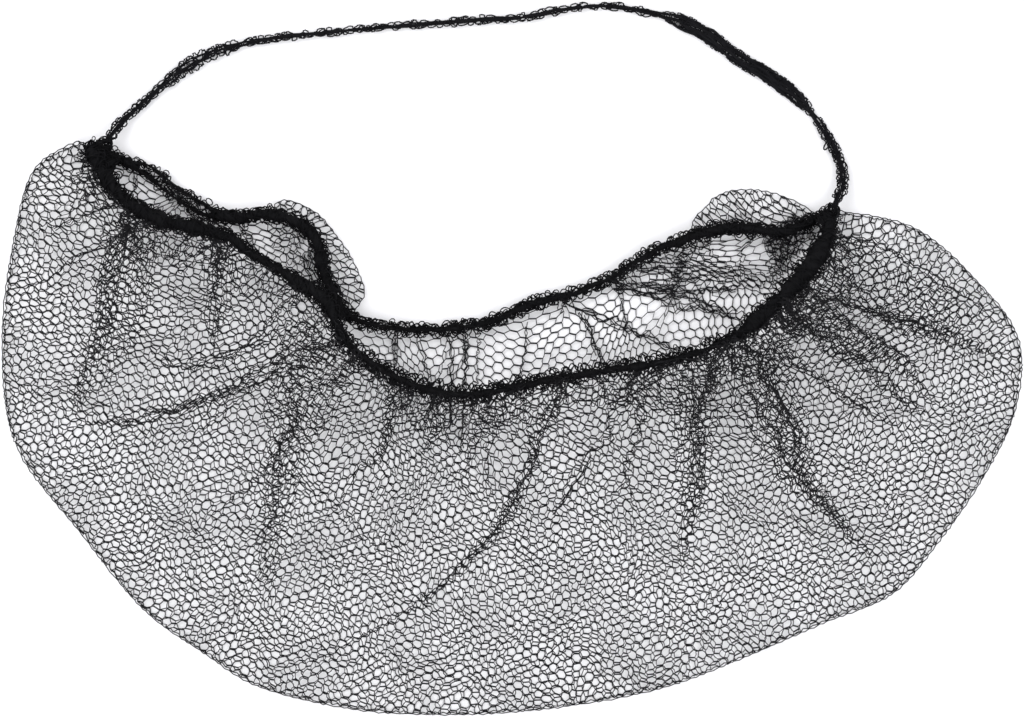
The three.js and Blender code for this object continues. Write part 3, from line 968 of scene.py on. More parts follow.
# %% The front rim
front_line, front_at = rim_line(FRONT_RIM)
front_x, front_y, _ = front_line.T
front_radius = radius_from(FRONT_RIM_RADII, front_at)
front_radius += 0.9 * hump(front_x, 73, 4)
front_radius *= 1 - 0.42 * ease(front_y, 46, 60) * ease(front_x, 60, 80)
front_radius += 0.5 * hump(front_y, 43, 7) * ease(front_x, 72, 82)
front_radius *= 1 - 0.55 * hump(front_x, -71, 11)
front_radius *= 1 + 0.28 * stretch(front_x, (-40, -25), (50, 66))
front_full = 0.38 + 0.46 * ease(-front_x, 44, 62) + 0.4 * ease(front_x, 58, 70)
rim_piece(
    "front_rim_gathers", front_line, front_radius, front_full, 21, "front_rim", 5,
    np.zeros(len(front_line)),
)

# %% The back rim
back_line, back_at = rim_line(BACK_RIM)
back_x = back_line[:, 0]
back_radius = radius_from(BACK_RIM_RADII, back_at)
back_radius *= 1 + 0.15 * stretch(back_x, (28, 40), (60, 72))
back_full = 0.34 + 0.42 * ease(-back_x, 42, 52) + 0.3 * ease(back_x, 34, 60)
back_full += 0.34 * hump(back_x, 6, 11)
back_opened = stretch(back_x, (-114, -108), (-92, -86))
back_full -= 0.25 * back_opened
rim_piece("back_rim_gathers", back_line, back_radius, back_full, 22, "back_rim", 4, back_opened)

# %% [markdown]
# ## The ties
#
# At either end both rims run into one knot with the strap's end. The knot is a short
# stretch of tangle: threads wound across and over both rims, drawn tight round the
# lump that the strap's end makes.

# %% A tie's threads
TIE_THREADS = 26
TIE_RINGS = 14
RING_POINTS = 22


def wound_over(line, at, rng):
    """Threads wound over both rims, which lie beside each other there."""
    apart = smooth_line(FRONT_RIM, at) - smooth_line(BACK_RIM, at)
    slope = unit(apart)
    along = unit(np.gradient(line, axis=0))
    thick = unit(np.cross(along, slope))
    reach = np.linalg.norm(apart, axis=-1) / 2
    tall = (radius_from(FRONT_RIM_RADII, at) + radius_from(BACK_RIM_RADII, at)) / 2
    made = []
    for _ in range(TIE_THREADS):
        turns = rng.uniform(2.2, 5) * rng.choice([-1, 1])
        angle = rng.uniform(0, math.tau) + math.tau * turns * np.linspace(0, 1, len(line))
        angle += wander(rng, len(line), 5, 0.3)
        share = rng.uniform(0.45, 0.95)
        thread = (
            line
            + slope * ((reach + 0.7 * tall) * share * np.cos(angle))[:, None]
            + thick * (tall * share * np.sin(angle))[:, None]
            + along * wander(rng, len(line), 4, 0.5)[:, None]
        )
        made.append((thread, np.full(len(line), rng.uniform(0.9, 2.2))))
    return made, reach * 0.6 + tall * 0.6


def drawn_round(middle, radius, rng):
    """Threads drawn tight round the strap's end, in rings that lie any way round."""
    made = []
    for _ in range(TIE_RINGS):
        turn = np.linspace(0, math.tau * rng.uniform(0.9, 1.6), RING_POINTS)
        turn += rng.uniform(0, math.tau)
        axis = unit(rng.normal(size=3))
        one = unit(np.cross(axis, rng.normal(size=3)))
        two = np.cross(axis, one)
        size = radius * rng.uniform(0.5, 0.98)
        ring = np.outer(np.cos(turn), one) + np.outer(np.sin(turn), two)
        play = wander(rng, RING_POINTS, 4, 0.2)[:, None]
        thread = np.array(middle) + size * ring + play
        made.append((thread, np.full(RING_POINTS, rng.uniform(0.9, 2.0))))
    return made


# %% The ties
def tie_piece(name, seed, stands_for, middle, radius, from_share, to_share):
    """A knot over a stretch of both rims, with its lump, inside the solid it stands for."""
    rng = np.random.default_rng(seed)
    shares = np.linspace(from_share, to_share, 60)
    between_rims = (smooth_line(FRONT_RIM, shares) + smooth_line(BACK_RIM, shares)) / 2
    line = even_line(between_rims, 0.4)
    wound, fringe = wound_over(line, np.linspace(from_share, to_share, len(line)), rng)
    lines, thickness = zip(*wound, *drawn_round(middle, radius, rng))
    low, high = (np.array(corner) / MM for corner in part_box(stands_for))
    for thread in lines:
        np.clip(thread, low + RIM_THREAD / 2, high - RIM_THREAD / 2, out=thread)
    knot = grown(
        name, lines, THREAD_SWEEP, {"thickness": thickness},
        thread_radius=RIM_THREAD / 2 * MM, sides=5, finish=RIM_FINISH,
    )
    fuzz = grown(
        name, [line], LOOPED_EDGE, {"reach": [fringe * MM]},
        spacing=0.12 * MM, loop_length=1.6 * MM, loop_height=1.5 * MM,
        thread_radius=RIM_THREAD / 2 * MM, seed=seed, finish=RIM_FINISH,
    )
    joined_piece(name, [knot, fuzz], "gathered_edge", stands_for)


TIE_END = 0.004  # share of the mouth that stays free past a knot
tie_piece("left_tie_knot", 31, "left_tie", (-120.6, 82.6, 5.4), 2.7, TIE_END, TIE_SHARE)
tie_piece(
    "right_tie_knot", 32, "right_tie", (94.6, 63.2, 5.4), 2.4, 1 - TIE_SHARE, 1 - TIE_END
)

# %% [markdown]
# ## Laying out the net
#
# The net is knitted flat, with cells 3.4 mm across. Each layer is laid out beside a
# line: rows run along with it and columns stand square to it. Where the line turns, the
# columns fan out like the ribs of a fan, so cells that have their full size near the
# fold are squeezed together at the rim. That is what the elastic does to the front
# layer. The back layer isn't drawn in as much, so its line is straight.
#
# The rest of the fullness is folded over. Across such a pleat the net runs forward,
# back and forward again, so it lies three thick in a strip that narrows to a tip like a
# leaf. A pleat is made by moving the corners of the cells square to its line: a strip
# in the middle is turned round, and the net on both sides gives way a little.

# %% Edges of the layers
CELL = 3.4  # across the flats
SIDE = CELL / math.sqrt(3)
COLUMN = 1.5 * SIDE
ROW = CELL / 2
LEFT_TIE, RIGHT_TIE = (-127, 84.2, 4), (95, 63.2, 4)
LOBES = [  # where the net stands out behind the back rim
    [
        (-70.5, 61.5), (-70.1, 65.2), (-67, 66.2), (-61.1, 64.2), (-56.4, 60.9),
        (-50.9, 53.9), (-47.8, 49.2), (-44.3, 41.3), (-43.9, 38.4), (-46.2, 34.5),
    ],
    [
        (53.5, 57), (53.9, 60.4), (57.9, 64.5), (60, 66.8), (64, 68.7), (70, 69.3),
        (77, 68.4), (85.1, 65.3), (90.5, 61.8),
    ],
]

along = np.linspace(0, 1, 420)
FOLD_EDGE = smooth_line([LEFT_TIE, *FOLD[1:-1], RIGHT_TIE], along)
FRONT_EDGE = smooth_line(FRONT_RIM, place_at(along))
BACK_EDGE = smooth_line(BACK_RIM, place_at(along))


def flat_line(spots, count, height=0):
    """A smooth line through spots [x, y], all at one height."""
    return smooth_line([(*spot, height) for spot in spots], np.linspace(0, 1, count))


def in_lots(places, size=2000):
    """The places' indices in lots, so that no table of distances grows too large."""
    return np.array_split(np.arange(len(places)), max(1, len(places) // size))


def inside(places, edge):
    """Which places lie inside a closed line, both seen from above."""
    x, y = places[..., 0:1], places[..., 1:2]
    x0, y0 = edge[:, 0], edge[:, 1]
    x1, y1 = np.roll(x0, -1), np.roll(y0, -1)
    found = np.zeros(places.shape[:-1], bool)
    rise = np.where(y1 == y0, 1e-9, y1 - y0)
    for part in in_lots(places):
        spans = (y0 > y[part]) != (y1 > y[part])
        left_of = x[part] < x0 + (y[part] - y0) * (x1 - x0) / rise
        found[part] = np.sum(spans & left_of, axis=-1) % 2 == 1
    return found


def nearest(places, line):
    """Distance to the nearest point of a line, seen from above, and which point it is."""
    far = np.empty(len(places))
    which = np.empty(len(places), int)
    for part in in_lots(places):
        apart = places[part, None, :2] - line[None, :, :2]
        square = np.einsum("ijk,ijk->ij", apart, apart)
        which[part] = np.argmin(square, axis=1)
        far[part] = np.sqrt(np.min(square, axis=1))
    return far, which


# %% The lobes' outlines
LOBED = np.zeros(len(BACK_EDGE))  # 1 where the back rim has a lobe behind it
LOBE_LINES, LOBE_RIMS, parts, reached = [], [], [], 0
for spots in LOBES:
    outline = flat_line(spots, 90, 0.8)
    first, last = nearest(outline[[0, -1]], BACK_EDGE)[1]
    LOBED[first : last + 1] = 1
    parts += [BACK_EDGE[reached:first], outline]
    LOBE_LINES.append(outline)
    LOBE_RIMS.append(BACK_EDGE[first : last + 1])
    reached = last + 1
LOBE_EDGE = np.concatenate([*parts, BACK_EDGE[reached:]])
print("lobes stand out", [round(float(nearest(o, BACK_EDGE)[0].max()), 1) for o in LOBE_LINES])


# %% Heights of the layers
def height_map(points):
    """A function that gives the height of scattered points anywhere near them."""
    step = 1.0
    spread = 14  # steps by which the known heights are carried outwards
    low = points[:, :2].min(0) - spread * step
    size = np.ceil((points[:, :2].max(0) - low) / step).astype(int) + spread
    at = ((points[:, :2] - low) / step).astype(int)
    total, count = np.zeros(size), np.zeros(size)
    np.add.at(total, (at[:, 0], at[:, 1]), points[:, 2])
    np.add.at(count, (at[:, 0], at[:, 1]), 1)
    known = count > 0
    heights = np.where(known, total / np.maximum(count, 1), 0)
    for _ in range(spread):
        sums, seen = np.zeros(size), np.zeros(size)
        for axis, way in ((0, 1), (0, -1), (1, 1), (1, -1)):
            sums += np.roll(heights * known, way, axis)
            seen += np.roll(known, way, axis)
        fill = ~known & (seen > 0)
        heights[fill] = (sums / np.maximum(seen, 1))[fill]
        known = known | fill

    def height(places):
        """The height at each place, blended from the four steps round it."""
        at = np.clip((places[:, :2] - low) / step - 0.5, 0, np.array(size) - 1.001)
        i, k = at[:, 0].astype(int), at[:, 1].astype(int)
        s, t = at[:, 0] - i, at[:, 1] - k
        near = heights[i, k] * (1 - s) + heights[i + 1, k] * s
        far = heights[i, k + 1] * (1 - s) + heights[i + 1, k + 1] * s
        return near * (1 - t) + far * t

    return height


front_height = height_map(FRONT_GRID.reshape(-1, 3))
BACK_LIES = 0.35  # how high the middle of the back layer's threads lies
HEM_LIES = 0.6  # how far the hem lies over the front layer
SLACK_LIES = 0.8  # how far a slack sheet lies over its layer
FLAP_LIES = 1.0  # how high a lobe's upper layer lies at its outline
FLAP_PUFF = 1.5  # how far it stands up in its middle


def hem_height(places):
    """The hem lies just over the front layer."""
    return front_height(places) + HEM_LIES


def back_height(places):
    """The back layer lies flat, and rises to its rim where it has no lobe behind it."""
    far, which = nearest(places, BACK_EDGE)
    up = (BACK_EDGE[which, 2] - BACK_LIES) * hump(far, 0, 3.5)
    return BACK_LIES + up * (1 - LOBED[which])


def flap_height(places):
    """Over a lobe the net comes back to the rim from behind."""
    far, which = nearest(places, BACK_EDGE)
    left, _ = nearest(places, np.concatenate(LOBE_LINES))
    share = far / np.maximum(far + left, 0.1)
    rise = (BACK_EDGE[which, 2] - FLAP_LIES) * (1 - share) ** 0.7
    return FLAP_LIES + rise + FLAP_PUFF * np.sin(math.pi * share)


print("front layer up to", round(float(FRONT_GRID[..., 2].max()), 1), "mm high")

# %% [markdown]
# The pleats of each layer are listed from the rim to the tip, with how wide they are
# and how far they stand up. The smaller gathers are set by chance along the rims.
# A cloth simulation could drop the net on the table and find folds of its own, but not
# these folds in these places. Here each pleat is a move: the net on either side of a
# line changes places, so that it lies three deep there, and the net further off gives
# way. Where a pleat is drawn tight its threads bunch into a sharp dark line, and those
# creases are made as a few threads that run along the line and cross each other.

# %% The pleats
FRONT_PLEATS = [
    ([(-114, 60), (-118, 35), (-129, 7)], 4, 2.0),
    ([(-86, 53), (-88, 38), (-91, 20)], 2.2, 1.4),
    ([(-58, 24), (-64, -4), (-73, -38)], 2.4, 1.6),
    ([(14.3, 10), (-3.6, -28.4), (-27.3, -52.1), (-65.9, -74)], 2.2, 2.0),
    ([(30.6, 14), (24, -4), (10, -28)], 1.5, 1.2),
    ([(52.9, 20), (54, -10), (50.5, -44)], 2.2, 2.0),
    ([(64, 22), (72, 6), (80, -11), (108, -41)], 2.4, 2.0),
    ([(80, 34), (98, 21), (124, 4)], 6, 2.6),
    ([(75.1, 26), (102, 5), (131.6, -13.5)], 1.3, 1.0),
    ([(110, 34), (126, 28), (146, 20)], 4, 2.0),
    ([(70, 24), (80, 4), (90, -20)], 1.2, 1.2),
    ([(42, 17), (38, -4), (28, -24)], 2.5, 1.5),
    ([(-60, 22), (-90, 8), (-136, -2)], 2.2, 1.2),
    ([(-66, 36), (-89.7, 18), (-114, 22)], 1.8, 1.2),
    ([(-62, 16), (-84, 2), (-100, -12)], 1.5, 1.0),
    ([(-58, 4), (-70, -12), (-96, -34)], 1.5, 1.0),
    ([(-34, 6), (-44, -14), (-60, -36)], 0.6, 0.8),
]
BACK_PLEATS = [
    ([(13, 37.5), (25.5, 31.6), (35.6, 28.1), (49, 21.5), (56, 18)], 1.1, 0.8),
    ([(27, 44), (35.6, 39.1), (49, 35.5), (63.9, 31.9), (72, 27)], 1.1, 0.8),
    ([(38, 41), (51.4, 39.4), (66.2, 39.4), (80, 39)], 0.8, 0.6),
    ([(80, 58), (79, 51), (76.5, 44)], 3.5, 1.0),
    ([(-19, 28), (-18.5, 10), (-19.3, 0)], 0.9, 0.6),
    ([(-13.7, 29), (-14, 10), (-15, -5)], 0.9, 0.6),
]
# Sharp folds, where threads of many cells lie along each other: how many, how wide.
FRONT_CREASES = [
    ([(86.4, 37.9), (98.3, 34.9), (109.3, 31.9), (118.2, 28.7), (131, 24.5)], 5, 2.6),
    ([(84.9, 31.9), (93.6, 25.1), (101.3, 18.3), (108.4, 12.6), (122, 2)], 7, 3.4),
    ([(73.7, 25.1), (81.1, 17.7), (88.5, 13.8), (95.9, 8.8), (112, -1)], 3, 1.0),
    ([(72, 21), (75.2, 12), (79.6, 0.4), (86, -14)], 5, 3.4),
    ([(94, 55), (105.4, 53.3), (115.8, 47.4), (128, 40.5), (144, 29)], 3, 1.0),
    ([(72, 34), (78, 31), (86, 27)], 20, 3.2),
    ([(14.3, 10), (-3.6, -28.4), (-27.3, -52.1)], 2, 0.8),
    ([(25, -6), (18, -18), (8.7, -31)], 3, 0.8),
    ([(64, 22), (71, 6), (80, -11), (92, -26), (108, -41)], 6, 3.2),
    ([(60, 22), (67, 4), (76, -11), (90, -28)], 4, 2.6),
    ([(52.5, 18), (53, -10), (51, -42)], 3, 3.0),
    ([(-134, 57), (-125.6, 60.7), (-117, 64)], 3, 0.8),
    ([(-64, 18), (-74.8, 13), (-101.6, 4), (-125.3, -1)], 5, 2.6),
    ([(-64, 30), (-74.8, 24.2), (-84, 20.5), (-95, 17.7), (-108, 21.8)], 4, 2.2),
    ([(-113, 60), (-112, 55), (-110, 46)], 9, 4.2),
    ([(-86, 57), (-87, 51), (-88, 43)], 8, 3.4),
]
BACK_CREASES = [
    ([(13, 37.5), (25.5, 31.6), (35.6, 28.1), (49, 21.5), (56, 18)], 3, 1.7),
    ([(27, 44), (35.6, 39.1), (49, 35.5), (63.9, 31.9), (72, 27)], 5, 2.2),
    ([(34, 41.5), (41.9, 39.9), (49, 38.5), (61.8, 34), (71, 32)], 3, 1.5),
    ([(40, 41.5), (51.4, 39.6), (66.2, 39.6), (77, 39.2)], 3, 1.3),
    ([(36, 46), (46, 44.5), (56, 43), (64, 45)], 3, 2.6),
    ([(20, 33), (24, 25), (27, 16)], 4, 0.9),
    ([(-19, 28), (-18.5, 10), (-19.3, -8)], 3, 1.1),
    ([(-13.7, 29), (-14, 10), (-15, -12)], 3, 1.2),
    ([(-28, 26), (-26, 16), (-24, 8)], 2, 1.0),
    ([(-104, 72), (-94, 64), (-84, 57)], 3, 2.0),
    ([(-62, 50), (-58, 42), (-54, 34)], 4, 1.6),
    ([(4.2, 30), (3.4, 22), (1.2, 12)], 2, 0.3),
]


# %% Folding over
GIVES_WAY = 5.0  # how far the net beside a pleat gives way, in half widths of the pleat
TURNED_ROUND = 2.1  # how far the middle of a pleat moves, in half widths: 2 turns it round


def leaf(t):
    """A pleat's width along it, wide in the middle and 0 at its tip."""
    t = np.clip(t, 0, 1)
    return np.sqrt(1 - t) * (0.75 + 0.5 * np.sin(math.pi * t**0.6))


def folded_over(places, route, width, rise):
    """The places moved to where they lie once the net is folded over along a line."""
    line = flat_line(route, 60)
    reach = 9 * width
    low, high = line[:, :2].min(0) - reach, line[:, :2].max(0) + reach
    near = np.flatnonzero(np.all((places[:, :2] > low) & (places[:, :2] < high), axis=1))
    if not len(near):
        return
    spots = places[near]
    _, which = nearest(spots, line)
    share = lengths_along(line) / lengths_along(line)[-1]
    ahead = unit(np.gradient(line, axis=0))[which]
    aside = np.stack([-ahead[:, 1], ahead[:, 0], 0 * ahead[:, 0]], axis=-1)
    away = (spots - line[which]) * (1, 1, 0)
    off = np.sum(away * aside, axis=-1)
    past = np.sum(away * ahead, axis=-1)
    at_end = (which == 0) | (which == len(line) - 1)
    fade = np.where(at_end, hump(past, 0, 1.5 * width), 1)
    wide = leaf(share[which])
    half = np.maximum(1.1 * width * wide, 0.15)
    move = -TURNED_ROUND * half * np.tanh(off / half) * hump(off, 0, GIVES_WAY * half) * fade
    spots[:, :2] += (aside * move[:, None])[:, :2]
    spots[:, 2] += rise * fade * wide * hump(off / half, -0.6, 1)
    places[near] = spots


def gathers(edge, inward, spacing, widths, lengths, rise, rng):
    """Small pleats that run down from a rim, at a chance spacing along it."""
    made = []
    run = lengths_along(edge)
    at = rng.uniform(0, spacing)
    while at < run[-1]:
        k = int(np.searchsorted(run, at))
        start = edge[min(k, len(edge) - 1), :2]
        length = rng.uniform(*lengths) * rng.uniform(0.4, 1)
        down = inward(start)
        down = down + rng.normal(0, 0.2) * np.array([-down[1], down[0]])
        bend = rng.normal(0, 0.08) * length * np.array([-down[1], down[0]])
        route = [start - 1.5 * down, start + 0.5 * length * down + bend, start + length * down]
        made.append((route, rng.uniform(*widths), rise))
        at += spacing * rng.uniform(0.5, 1.5)
    return made


# %% A sheet of net beside a line
STATION = 0.5  # steps of a sheet's line, in mm
TURN_WINDOW = 48  # stations to either side over which a turn of the line is softened
TURN_SOFTNESS = 8  # mm
ROWS_ABOVE, ROWS_BELOW = 40, 170  # how far the rows go to either side of the line
KEPT_BEYOND = 12  # cells are laid this far beyond the edge, to be cut at it


class Sheet:
    """A piece of net: rows run beside a line, and columns stand square to it."""

    def __init__(
        self, start, headings, edge, height, shift, seed, close=1.0, size=1.0, margin=KEPT_BEYOND
    ):
        stations, angles = zip(*headings)
        self.edge = edge
        self.height = height
        self.shift = shift
        self.close = close
        self.size = size
        self.side = SIDE * size
        self.margin = margin
        self.rng = np.random.default_rng(seed)
        self.run = np.arange(0, stations[-1], STATION)
        angle = np.radians(np.interp(self.run, stations, angles))
        beside = np.arange(-TURN_WINDOW, TURN_WINDOW + 1) * STATION
        window = np.exp(-0.5 * (beside / TURN_SOFTNESS) ** 2)
        padded = np.pad(angle, TURN_WINDOW, mode="edge")
        angle = np.convolve(padded, window / window.sum(), "valid")
        ahead = np.stack([np.cos(angle), np.sin(angle)], axis=-1)
        self.line = np.array(start) + np.cumsum(ahead, axis=0) * STATION
        self.aside = np.stack([ahead[:, 1], -ahead[:, 0]], axis=-1)
        bend = np.gradient(angle) / STATION
        fullness = 1 + bend * self.depth_inside()
        self.net = np.cumsum(fullness) * STATION
        self.columns = np.arange(int(self.net[-1] / COLUMN / close / size))
        self.rows = np.arange(int(-ROWS_ABOVE / ROW / size), int(ROWS_BELOW / ROW / size))

    def depth_inside(self):
        """How far the columns run from the line before they are near the edge, in mm."""
        few = np.arange(0, len(self.run), 16)
        steps = np.arange(0, 150, 3.0)
        spots = self.line[few, None] + self.aside[few, None] * steps[:, None]
        within = inside(spots.reshape(-1, 2), self.edge).reshape(len(few), len(steps))
        depth = np.max(np.where(within, steps, 0), axis=1) * 0.85
        return np.interp(self.run, self.run[few], depth)

    def inward(self, spot):
        """The way the columns run at a spot."""
        _, which = nearest(np.array([spot]), self.line)
        return self.aside[which[0]]

    def corners(self, warps):
        """The cells' corners, [row, column, left or right], and which of them exist."""
        even = (self.columns[None] + self.rows[:, None]) % 2 == 0
        at = self.columns[:, None] * COLUMN + np.array([-SIDE / 2, SIDE / 2])
        at = at * self.close * self.size + self.shift
        run = np.interp(at, self.net, self.run)
        flat = [np.interp(run, self.run, self.line[:, axis]) for axis in range(2)]
        way = [np.interp(run, self.run, self.aside[:, axis]) for axis in range(2)]
        depth = (self.rows * ROW * self.size)[:, None, None]
        made = np.stack([flat[0] + way[0] * depth, flat[1] + way[1] * depth, 0 * depth + at * 0], -1)
        middles = made.mean(axis=2)
        wanted = even.copy()
        beyond, _ = nearest(middles[even], self.edge[::3])
        wanted[even] = inside(middles[even], self.edge) | (beyond < self.margin)
        places = made[wanted].reshape(-1, 3)
        for warp, *rest in warps:
            warp(places, *rest)
        laid = np.full(made.shape, np.nan)
        laid[wanted] = places.reshape(-1, 2, 3)
        return laid, wanted


def turned_about(places, middle, degrees, reach):
    """The net turned about a spot, less and less further out."""
    away = places[:, :2] - middle
    turn = math.radians(degrees) * np.exp(-0.5 * np.sum(away**2, axis=1) / reach**2)
    x = away[:, 0] * np.cos(turn) - away[:, 1] * np.sin(turn)
    y = away[:, 0] * np.sin(turn) + away[:, 1] * np.cos(turn)
    places[:, 0], places[:, 1] = middle[0] + x, middle[1] + y


def drawn_in(places, middle, heading, share, along_it, across_it):
    """The net drawn in towards a spot along one heading."""
    way = np.array([math.cos(math.radians(heading)), math.sin(math.radians(heading))])
    away = places[:, :2] - middle
    far = away @ way
    aside = away @ np.array([-way[1], way[0]])
    near = np.exp(-0.5 * ((far / along_it) ** 2 + (aside / across_it) ** 2))
    places[:, :2] -= (share * far * near)[:, None] * way


# %% [markdown]
# Each layer is one sheet of cells, whose rows follow a line that turns as the mouth
# does. The hem is a narrow sheet over the front layer along its rim: the net is doubled
# there before it is gathered. Where the mouth's elastic has drawn in more net than has
# room to lie flat, small slack sheets lie on the layer, each with rows of its own.

# %% The sheets of net
FRONT_TURNS = [
    (0, -58), (50, -58), (75, -42), (100, -34), (140, -32), (160, -26), (180, -8), (200, 4),
    (235, 9), (258, 20), (280, 37), (300, 52), (320, 66), (345, 76), (430, 84),
]
FRONT_START = (-150.5, 125.4)
HEM_DEPTHS = [
    (0, 6), (0.1, 11), (0.16, 7), (0.24, 12), (0.3, 12), (0.36, 9), (0.42, 11), (0.47, 14),
    (0.54, 11), (0.66, 13), (0.76, 16), (0.83, 14), (0.9, 14), (0.97, 12), (1, 8),
]


def hem_edge():
    """The hem's closed edge: down from the front rim by a ragged depth."""
    rng = np.random.default_rng(77)
    runs = unit(np.gradient(FRONT_EDGE, axis=0) * (1, 1, 0))
    down = np.stack([runs[:, 1], -runs[:, 0], 0 * along], axis=-1)
    shares_at, depths = zip(*HEM_DEPTHS)
    depth = np.interp(along, shares_at, depths) * (1 + wander(rng, len(along), 9, 0.25))
    return np.concatenate([FRONT_EDGE + down * depth[:, None], FRONT_EDGE[::-1]])


FRONT_OUTLINE = np.concatenate([FOLD_EDGE, FRONT_EDGE[::-1]])
BACK_OUTLINE = np.concatenate([FOLD_EDGE, LOBE_EDGE[::-1]])
FRONT_SHEET = Sheet(
    FRONT_START, FRONT_TURNS, FRONT_OUTLINE, front_height, shift=0, seed=5, close=0.86
)
BACK_SHEET = Sheet(
    (-190, 95), [(0, -12), (420, -12)], BACK_OUTLINE, back_height, shift=0.7, seed=6,
    close=0.95, size=0.76,
)
# The hem's columns fan out as those of the whole front layer do. Only then does it get
# its own edge.
HEM_SHEET = Sheet(
    FRONT_START, FRONT_TURNS, FRONT_OUTLINE, hem_height, shift=1.3, seed=9, close=0.56, margin=0
)
HEM_SHEET.edge = hem_edge()
print("columns:", [len(sheet.columns) for sheet in (FRONT_SHEET, HEM_SHEET, BACK_SHEET)])

# %% The slack sheets
# Each has its outline, the heading of its rows, how closely its columns are drawn
# together, its cells' size, and how uneven it is.
BACK_SLACK = {
    "above the mouth": ([
        (26, 40), (33, 44), (42, 50), (52, 54), (60, 55), (64, 50), (70, 46), (78, 43.5),
        (79, 39), (68, 37), (60, 34.5), (50, 36), (40, 37.5), (31, 40),
    ], -9, 0.68, 1.0, 1.0),
    "by the right tie": ([
        (74, 59), (84, 62), (91, 61), (88, 54), (82, 47), (78, 41), (75, 45), (75, 53),
    ], 20, 0.62, 0.72, 1.2),
    "in the left mouth": ([
        (-79, 60), (-71, 60.5), (-64, 58), (-60, 51), (-58.5, 43), (-63, 44), (-69, 49),
    ], -30, 0.85, 0.95, 0.8),
    "over the one by the right tie": ([
        (75, 58), (84, 61), (91, 61), (87, 53), (81, 46), (77, 50),
    ], -55, 0.7, 0.8, 1.2),
}
FRONT_SLACK = {
    "turned back on the right": ([
        (87, 39), (90, 46), (93, 54), (97, 57), (105, 54), (116, 47.5), (128, 40.5), (138, 33),
        (131, 25), (118, 28.5), (109, 31.5), (98, 34.5),
    ], -28, 0.75, 0.95, 1.0),
    "under the rim's bend": ([
        (-63, 33), (-55, 27), (-49.6, 18), (-47, 9), (-53, -1), (-59, -9), (-61.5, -20),
        (-66, -30), (-70, -46), (-74.2, -44), (-73, -22), (-71.3, -4.6), (-69.5, 13), (-67.4, 27),
    ], -34, 0.43, 0.95, 0.8),
    "below the middle": ([
        (46.5, 17), (59.4, 20), (58.2, -13.5), (52.9, -34.3), (49.9, -42), (48.1, -28.4),
        (46.3, -7.6),
    ], 2, 0.6, 0.95, 0.6),
    "towards the right": ([
        (60.9, 21), (74, 26), (85.5, 7.3), (90, -13.5), (100.4, -31.3), (109.3, -41.7),
        (97.4, -32.8), (84, -19.5), (72.2, -1.6), (66.2, 8.8),
    ], 32, 0.58, 0.95, 0.6),
    "left": ([
        (-121, 61), (-105, 56), (-106, 38), (-111, 25), (-121, 10), (-129, 3), (-127, 22),
        (-122, 42),
    ], -8, 0.54, 0.95, 0.8),
    "left, by the crossing": ([
        (-93, 54), (-82, 50), (-84, 37), (-89, 26), (-92.5, 30), (-93, 40),
    ], -10, 0.48, 0.95, 0.8),
}


def slack_sheets(slack, height, seed):
    """Small sheets that lie on a layer, cut anywhere between whole cells."""
    sheets = []
    for k, (spots, heading, close, size, unevenness) in enumerate(slack.values()):
        way = math.radians(heading)
        ahead = np.array([math.cos(way), math.sin(way)])
        aside = np.array([math.sin(way), -math.cos(way)])
        sheet = Sheet(
            np.mean(spots, axis=0) - 150 * ahead - 60 * aside, [(0, heading), (300, heading)],
            flat_line([*spots, spots[0]], len(along)), lambda places: height(places) + SLACK_LIES,
            0.4 * k, seed + k, close, size, margin=0,
        )
        sheets.append((sheet, unevenness))
    return sheets


print(len(FRONT_SLACK) + len(BACK_SLACK), "slack sheets")


# %% Pleats and gathers as moves
def pleated(sheet, pleats, *small):
    """A sheet's pleats and gathers as moves of its corners."""
    made = [*pleats]
    for edge, spacing, widths, lengths, rise in small:
        made += gathers(edge, sheet.inward, spacing, widths, lengths, rise, sheet.rng)
    return [(folded_over, *pleat) for pleat in made]


WARPS = {
    "front": pleated(
        FRONT_SHEET, FRONT_PLEATS,
        (FRONT_EDGE, 12, (1.2, 2.6), (20, 50), 1.2),
        (FRONT_EDGE[250:330], 3.2, (0.7, 1.5), (24, 60), 1.0),
        (FRONT_EDGE, 4.0, (0.7, 1.6), (6, 24), 0.6),
    ),
    "hem": pleated(HEM_SHEET, [], (FRONT_EDGE, 9, (0.8, 1.6), (8, 26), 0.8)),
    "back": [
        (turned_about, (-78, 52), 12, 30),
        (turned_about, (62, 30), -12, 32),
        *pleated(
            BACK_SHEET, BACK_PLEATS,
            (BACK_EDGE, 16, (1.0, 2.5), (12, 40), 0.4), (BACK_EDGE, 5, (0.6, 1.4), (3, 10), 0.3),
        ),
    ],
}
# Where a layer is pushed together without being folded its rows close up, and its cells
# are drawn out the other way: where, at which heading, by what share, and how far along
# the heading and across it.
DRAWN_OUT = [
    (drawn_in, (104, 27), 62, 0.3, 12, 24),
    (drawn_in, (-84, 14), -48, 0.3, 16, 20),
    (drawn_in, (84, -2), 30, 0.25, 12, 22),
]
CLOSED_ROWS = [
    (drawn_in, (52, 46), 80, 0.45, 6, 15),
    (drawn_in, (69, 48), 80, 0.35, 7, 9),
    (drawn_in, (-66, 51), -20, 0.42, 17, 15),
    (drawn_in, (-30, 20), 0, 0.42, 18, 24),
    (drawn_in, (31, 24), 5, 0.38, 11, 10),
    (drawn_in, (-99, 68), 150, 0.5, 16, 9),
    (drawn_in, (-99, 68), 60, 0.25, 9, 14),
]
print({name: len(moves) for name, moves in WARPS.items()}, "pleats, turns and gathers")

# %% [markdown]
# ## Corners and threads of the honeycomb
#
# The honeycomb's corners come in pairs, one at either end of each thick side, where two
# threads run together. A real net is never quite even, so the corners are moved about a
# little, and then pulled to the length of their threads a few dozen times, as the cells
# of a real net are by their neighbours.

